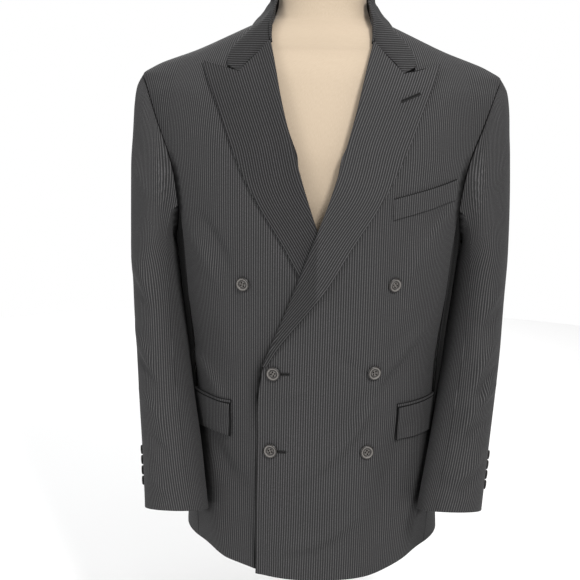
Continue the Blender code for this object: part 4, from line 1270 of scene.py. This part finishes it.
def makeButtonMesh(horn):
    # one button, its axis up and one metre in radius, with four holes and sewing as dark as itself
    thick = button["thickness"]
    face = np.array(button["face"])
    knots = knotsAlong(face[:, None], 0)
    outline = smoothWeights(knots, np.linspace(0.0, knots[-1], button["facePoints"]))[0] @ face
    outline[0, 0] = 0.0
    section = [(r, z * thick) for r, z in outline] + [(0.0, 0.0)]
    blank = turned("buttonBlank", section, button["steps"], 1e-4, horn)

    bm = bmesh.new()
    at = button["holeAt"]
    for x, y in ((at, at), (-at, at), (at, -at), (-at, -at)):
        bmesh.ops.create_cone(bm, cap_ends=True, segments=20, radius1=button["hole"], radius2=button["hole"],
                              depth=2.0, matrix=Matrix.Translation((x, y, 0.0)))
    drill = addPiece("drill", bm)
    cut = blank.modifiers.new("holes", "BOOLEAN")
    cut.operation = "DIFFERENCE"
    cut.object = drill
    mesh = plainMesh(blank, horn)
    bpy.data.objects.remove(drill)

    bm = bmesh.new()
    bm.from_mesh(mesh)
    gap, length = button["strandGap"], button["strand"][0]
    for y in (at - gap, at + gap, -at - gap, gap - at):
        place = Matrix.Translation((0.0, y, thick * button["strandHeight"]))
        made = bmesh.ops.create_uvsphere(bm, u_segments=14, v_segments=10, radius=1.0,
                                         matrix=place @ Matrix.Diagonal((*button["strand"], 1.0)))
        for vert in made["verts"]:
            vert.co.z -= button["strandDips"] * abs(vert.co.x / length) ** 5
    rings = bm.loops.layers.uv.new("rings")
    # the holes' walls take the dark tone past the edge: painted shade in the holes
    for face in bm.faces:
        inHole = abs(face.normal.z) < 0.5 and face.calc_center_median().xy.length < 0.5
        for loop in face.loops:
            loop[rings].uv = (0.95, 0.0) if inHole else loop.vert.co.xy
    bm.to_mesh(mesh)
    bm.free()
    mesh.shade_smooth()
    mesh.set_sharp_from_angle(angle=math.radians(button["sharp"]))
    return mesh


def liftAt(place):
    # how far the folds move the cloth nearest to a place
    best = None
    for points, lifts in laid:
        gaps = ((points - np.array(place)) ** 2).sum(axis=1)
        i = int(gaps.argmin())
        if best is None or gaps[i] < best[0]:
            best = (gaps[i], lifts[i])
    return Vector(best[1])


def placeButtons(mesh):
    names = [name for name in nodes if name.startswith("button_")]
    for i, name in enumerate(sorted(names)):
        solid = np.array([tuple(vert.co) for vert in nodes[name].data.vertices])
        centre = solid.mean(axis=0)
        axis = Vector(np.linalg.svd(solid - centre)[2][2])
        onFront = name.startswith("button_front")
        if axis.dot(Vector((0.0, -1.0, 0.0) if onFront else (centre[0], 0.4, 0.0))) < 0.0:
            axis.negate()
        size = button["front" if onFront else "cuff"]
        low = min((Vector(corner) - Vector(centre)).dot(axis) for corner in solid)
        foot = Vector(centre) + axis * low
        # no two are sewn on at quite the same turn
        turn = Matrix.Rotation(math.radians(90.0 + 37.0 * math.sin(2.3 * i)), 4, "Z")
        frameOf = axis.to_track_quat("Z", "Y").to_matrix().to_4x4()
        copy = mesh.copy()
        copy.transform(Matrix.Translation(foot + liftAt(foot)) @ frameOf @ turn @ Matrix.Scale(size, 4))
        piece = linked("horn_" + name, copy)
        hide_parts(name)
        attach(piece, "root")
    print("sewn on", len(names), "buttons")


# Each buttonhole from its inner end to its outer end, as (x, height), seen from the front.
buttonholes = {
    "middle": ((-0.0560, 0.2915), (-0.0350, 0.2920)),
    "lower": ((-0.0590, 0.1820), (-0.0380, 0.1822)),
    "lapel": ((0.1065, 0.6570), (0.1295, 0.6665)),
}
holeLook = {
    "halfWidth": 0.0013, "stitch": 0.00085, "slit": 0.0010, "corner": 12, "sink": 0.0002,
    "step": 0.0008,             # between the points of the ring of thread
}


def roundCord(name, path, radius, closed, material):
    curve = bpy.data.curves.new(name, "CURVE")
    curve.dimensions = "3D"
    curve.bevel_depth = radius
    curve.bevel_resolution = 3
    curve.use_fill_caps = True
    line = curve.splines.new("POLY")
    line.points.add(len(path) - 1)
    for point, place in zip(line.points, path):
        point.co = (*place, 1.0)
    line.use_cyclic_u = closed
    mesh = plainMesh(linked(name + "Curve", curve), material)
    mesh.shade_smooth()
    return linked(name, mesh)


def makeButtonholes(thread, slitShadeCord):
    for name, (start, end) in buttonholes.items():
        on = bpy.data.objects["cloth_lapel_left" if name == "lapel" else "cloth_front_left"]
        start, end = Vector((start[0], start[1] + hem)), Vector((end[0], end[1] + hem))
        way = (end - start).normalized()
        up = Vector((-way.y, way.x))
        half = holeLook["halfWidth"]

        def onCloth(flat, above):
            place, normal = on.ray_cast(Vector((flat.x, -0.4, flat.y)), Vector((0.0, 1.0, 0.0)))[1:3]
            return place + normal * above

        rim = []
        for centre, first in ((end, -90.0), (start, 90.0)):
            for i in range(holeLook["corner"] + 1):
                angle = math.radians(first + 180.0 * i / holeLook["corner"])
                rim.append(centre + way * half * math.cos(angle) + up * half * math.sin(angle))
        ring = []
        for flat, ahead in zip(rim, rim[1:] + rim[:1]):
            parts = max(1, round((ahead - flat).length / holeLook["step"]))
            ring.extend(onCloth(flat.lerp(ahead, i / parts), holeLook["sink"]) for i in range(parts))
        stitches = roundCord("buttonhole_" + name, ring, holeLook["stitch"], True, thread)
        # a near-black cord laid along the slit: painted shade where the cut opens
        slit = [onCloth(start.lerp(end, i / 12), 0.0) for i in range(13)]
        gap = roundCord("buttonhole_slit_" + name, slit, holeLook["slit"], False, slitShadeCord)
        for piece in (stitches, gap):
            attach(piece, "root")
    print("buttonholes sewn")


form = {
    "around": 128,              # faces round it
    "up": 0.0060,               # and how far apart their rows are
    "sharp": 45.0,
    "curveLimit": 0.0012,
    "ringPoints": 32,           # of the solid that it follows
    "past": 4,
}


def makeForm(linen):
    count = form["ringPoints"]
    points = np.array([tuple(vert.co) for vert in nodes["form_torso"].data.vertices])
    points = np.unique(np.round(points, 6), axis=0)
    rings = []
    for level in np.unique(np.round(points[:, 2], 4)):
        ring = points[np.abs(points[:, 2] - level) < 6e-5]
        if len(ring) < count:
            raise RuntimeError("the form has no whole ring at %.4f: %d" % (level, len(ring)))
        middle = ring[:, :2].mean(axis=0)
        order = np.argsort(np.arctan2(ring[:, 0] - middle[0], -(ring[:, 1] - middle[1])))
        rings.append(ring[order][:count])
    rings = np.array(rings)
    # each ring goes on past its start, so that it is smooth there too
    past = form["past"]
    wrapped = np.concatenate((rings[:, -past:], rings, rings[:, :past + 1]), axis=1)
    knots = knotsAlong(wrapped, 1)
    places = np.linspace(knots[past], knots[past + count], form["around"] + 1)
    around = smoothWeights(knots, places)[0]
    heights = knotsAlong(rings, 0)
    up = creasedWeights(heights, finePlaces(heights, form["up"], 1, (0.0, 0.002)), ())
    straight, off = curvedThrough(wrapped, up, (around, around), form["curveLimit"])
    fine = straight + off
    fine[:, -1] = fine[:, 0]
    rows, columns = fine.shape[0] - 1, fine.shape[1] - 1
    bm = bmesh.new()
    bmesh.ops.create_grid(bm, x_segments=columns, y_segments=rows, size=1.0)
    grain = bm.loops.layers.uv.new("grain")
    lengths = np.stack((lineLength(fine, 1), lineLength(fine, 0)), axis=2)
    for vert in bm.verts:
        i, j = round((vert.co.y + 1.0) / 2.0 * rows), round((vert.co.x + 1.0) / 2.0 * columns)
        for loop in vert.link_loops:
            loop[grain].uv = lengths[i, j]
        vert.co = fine[i, j]
    bmesh.ops.remove_doubles(bm, verts=bm.verts[:], dist=1e-6)
    for level in (fine[0, 0, 2], fine[-1, 0, 2]):
        border = [e for e in bm.edges if e.is_boundary and abs(e.verts[0].co.z - level) < 1e-5]
        made = bmesh.ops.contextual_create(bm, geom=border)
        for face in made["faces"]:
            for loop in face.loops:
                loop[grain].uv = (loop.vert.co.x, loop.vert.co.y)
    bmesh.ops.recalc_face_normals(bm, faces=bm.faces[:])
    piece = addPiece("form_body", bm, linen)
    piece.data.set_sharp_from_angle(angle=math.radians(form["sharp"]))
    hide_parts("form_torso")
    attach(piece, "root")
    print("dress form made")


stand = {
    "steps": 96,
    "sharp": 50.0,
    # half sections as (radius, height), from the top down to the axis
    "stand_post": ((0.0, 0.2447), (0.0492, 0.2447), (0.0500, 0.2440), (0.0500, 0.2392), (0.0490, 0.2386),
                   (0.0140, 0.2350), (0.0140, 0.0470), (0.0148, 0.0455), (0.0232, 0.0390), (0.0240, 0.0378),
                   (0.0278, 0.0180), (0.0280, 0.0163), (0.0, 0.0163)),
    "stand_base": ((0.0, 0.0160), (0.0400, 0.0160), (0.1460, 0.0104), (0.1490, 0.0099), (0.1580, 0.0056),
                   (0.1597, 0.0042), (0.1600, 0.0030), (0.1600, 0.0006), (0.1594, 0.0), (0.0, 0.0)),
}


def makeStand(steel):
    for node in ("stand_post", "stand_base"):
        piece = turned("turned_" + node, stand[node], stand["steps"], 1e-6, steel)
        piece.data.set_sharp_from_angle(angle=math.radians(stand["sharp"]))
        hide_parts(node)
        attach(piece, "root")
    print("stand turned")


weaveGroup = makeWeaveGroup()
setStage()
makeBlazer(makeWool(weaveGroup), makeWoven("satinLining", liningLook, weaveGroup))
placeButtons(makeButtonMesh(makeHorn()))
makeButtonholes(makeThread("buttonholeThread"), makeThread("slitShadow"))
makeForm(makeWoven("creamLinen", linenLook, weaveGroup))
makeStand(makeSteel())
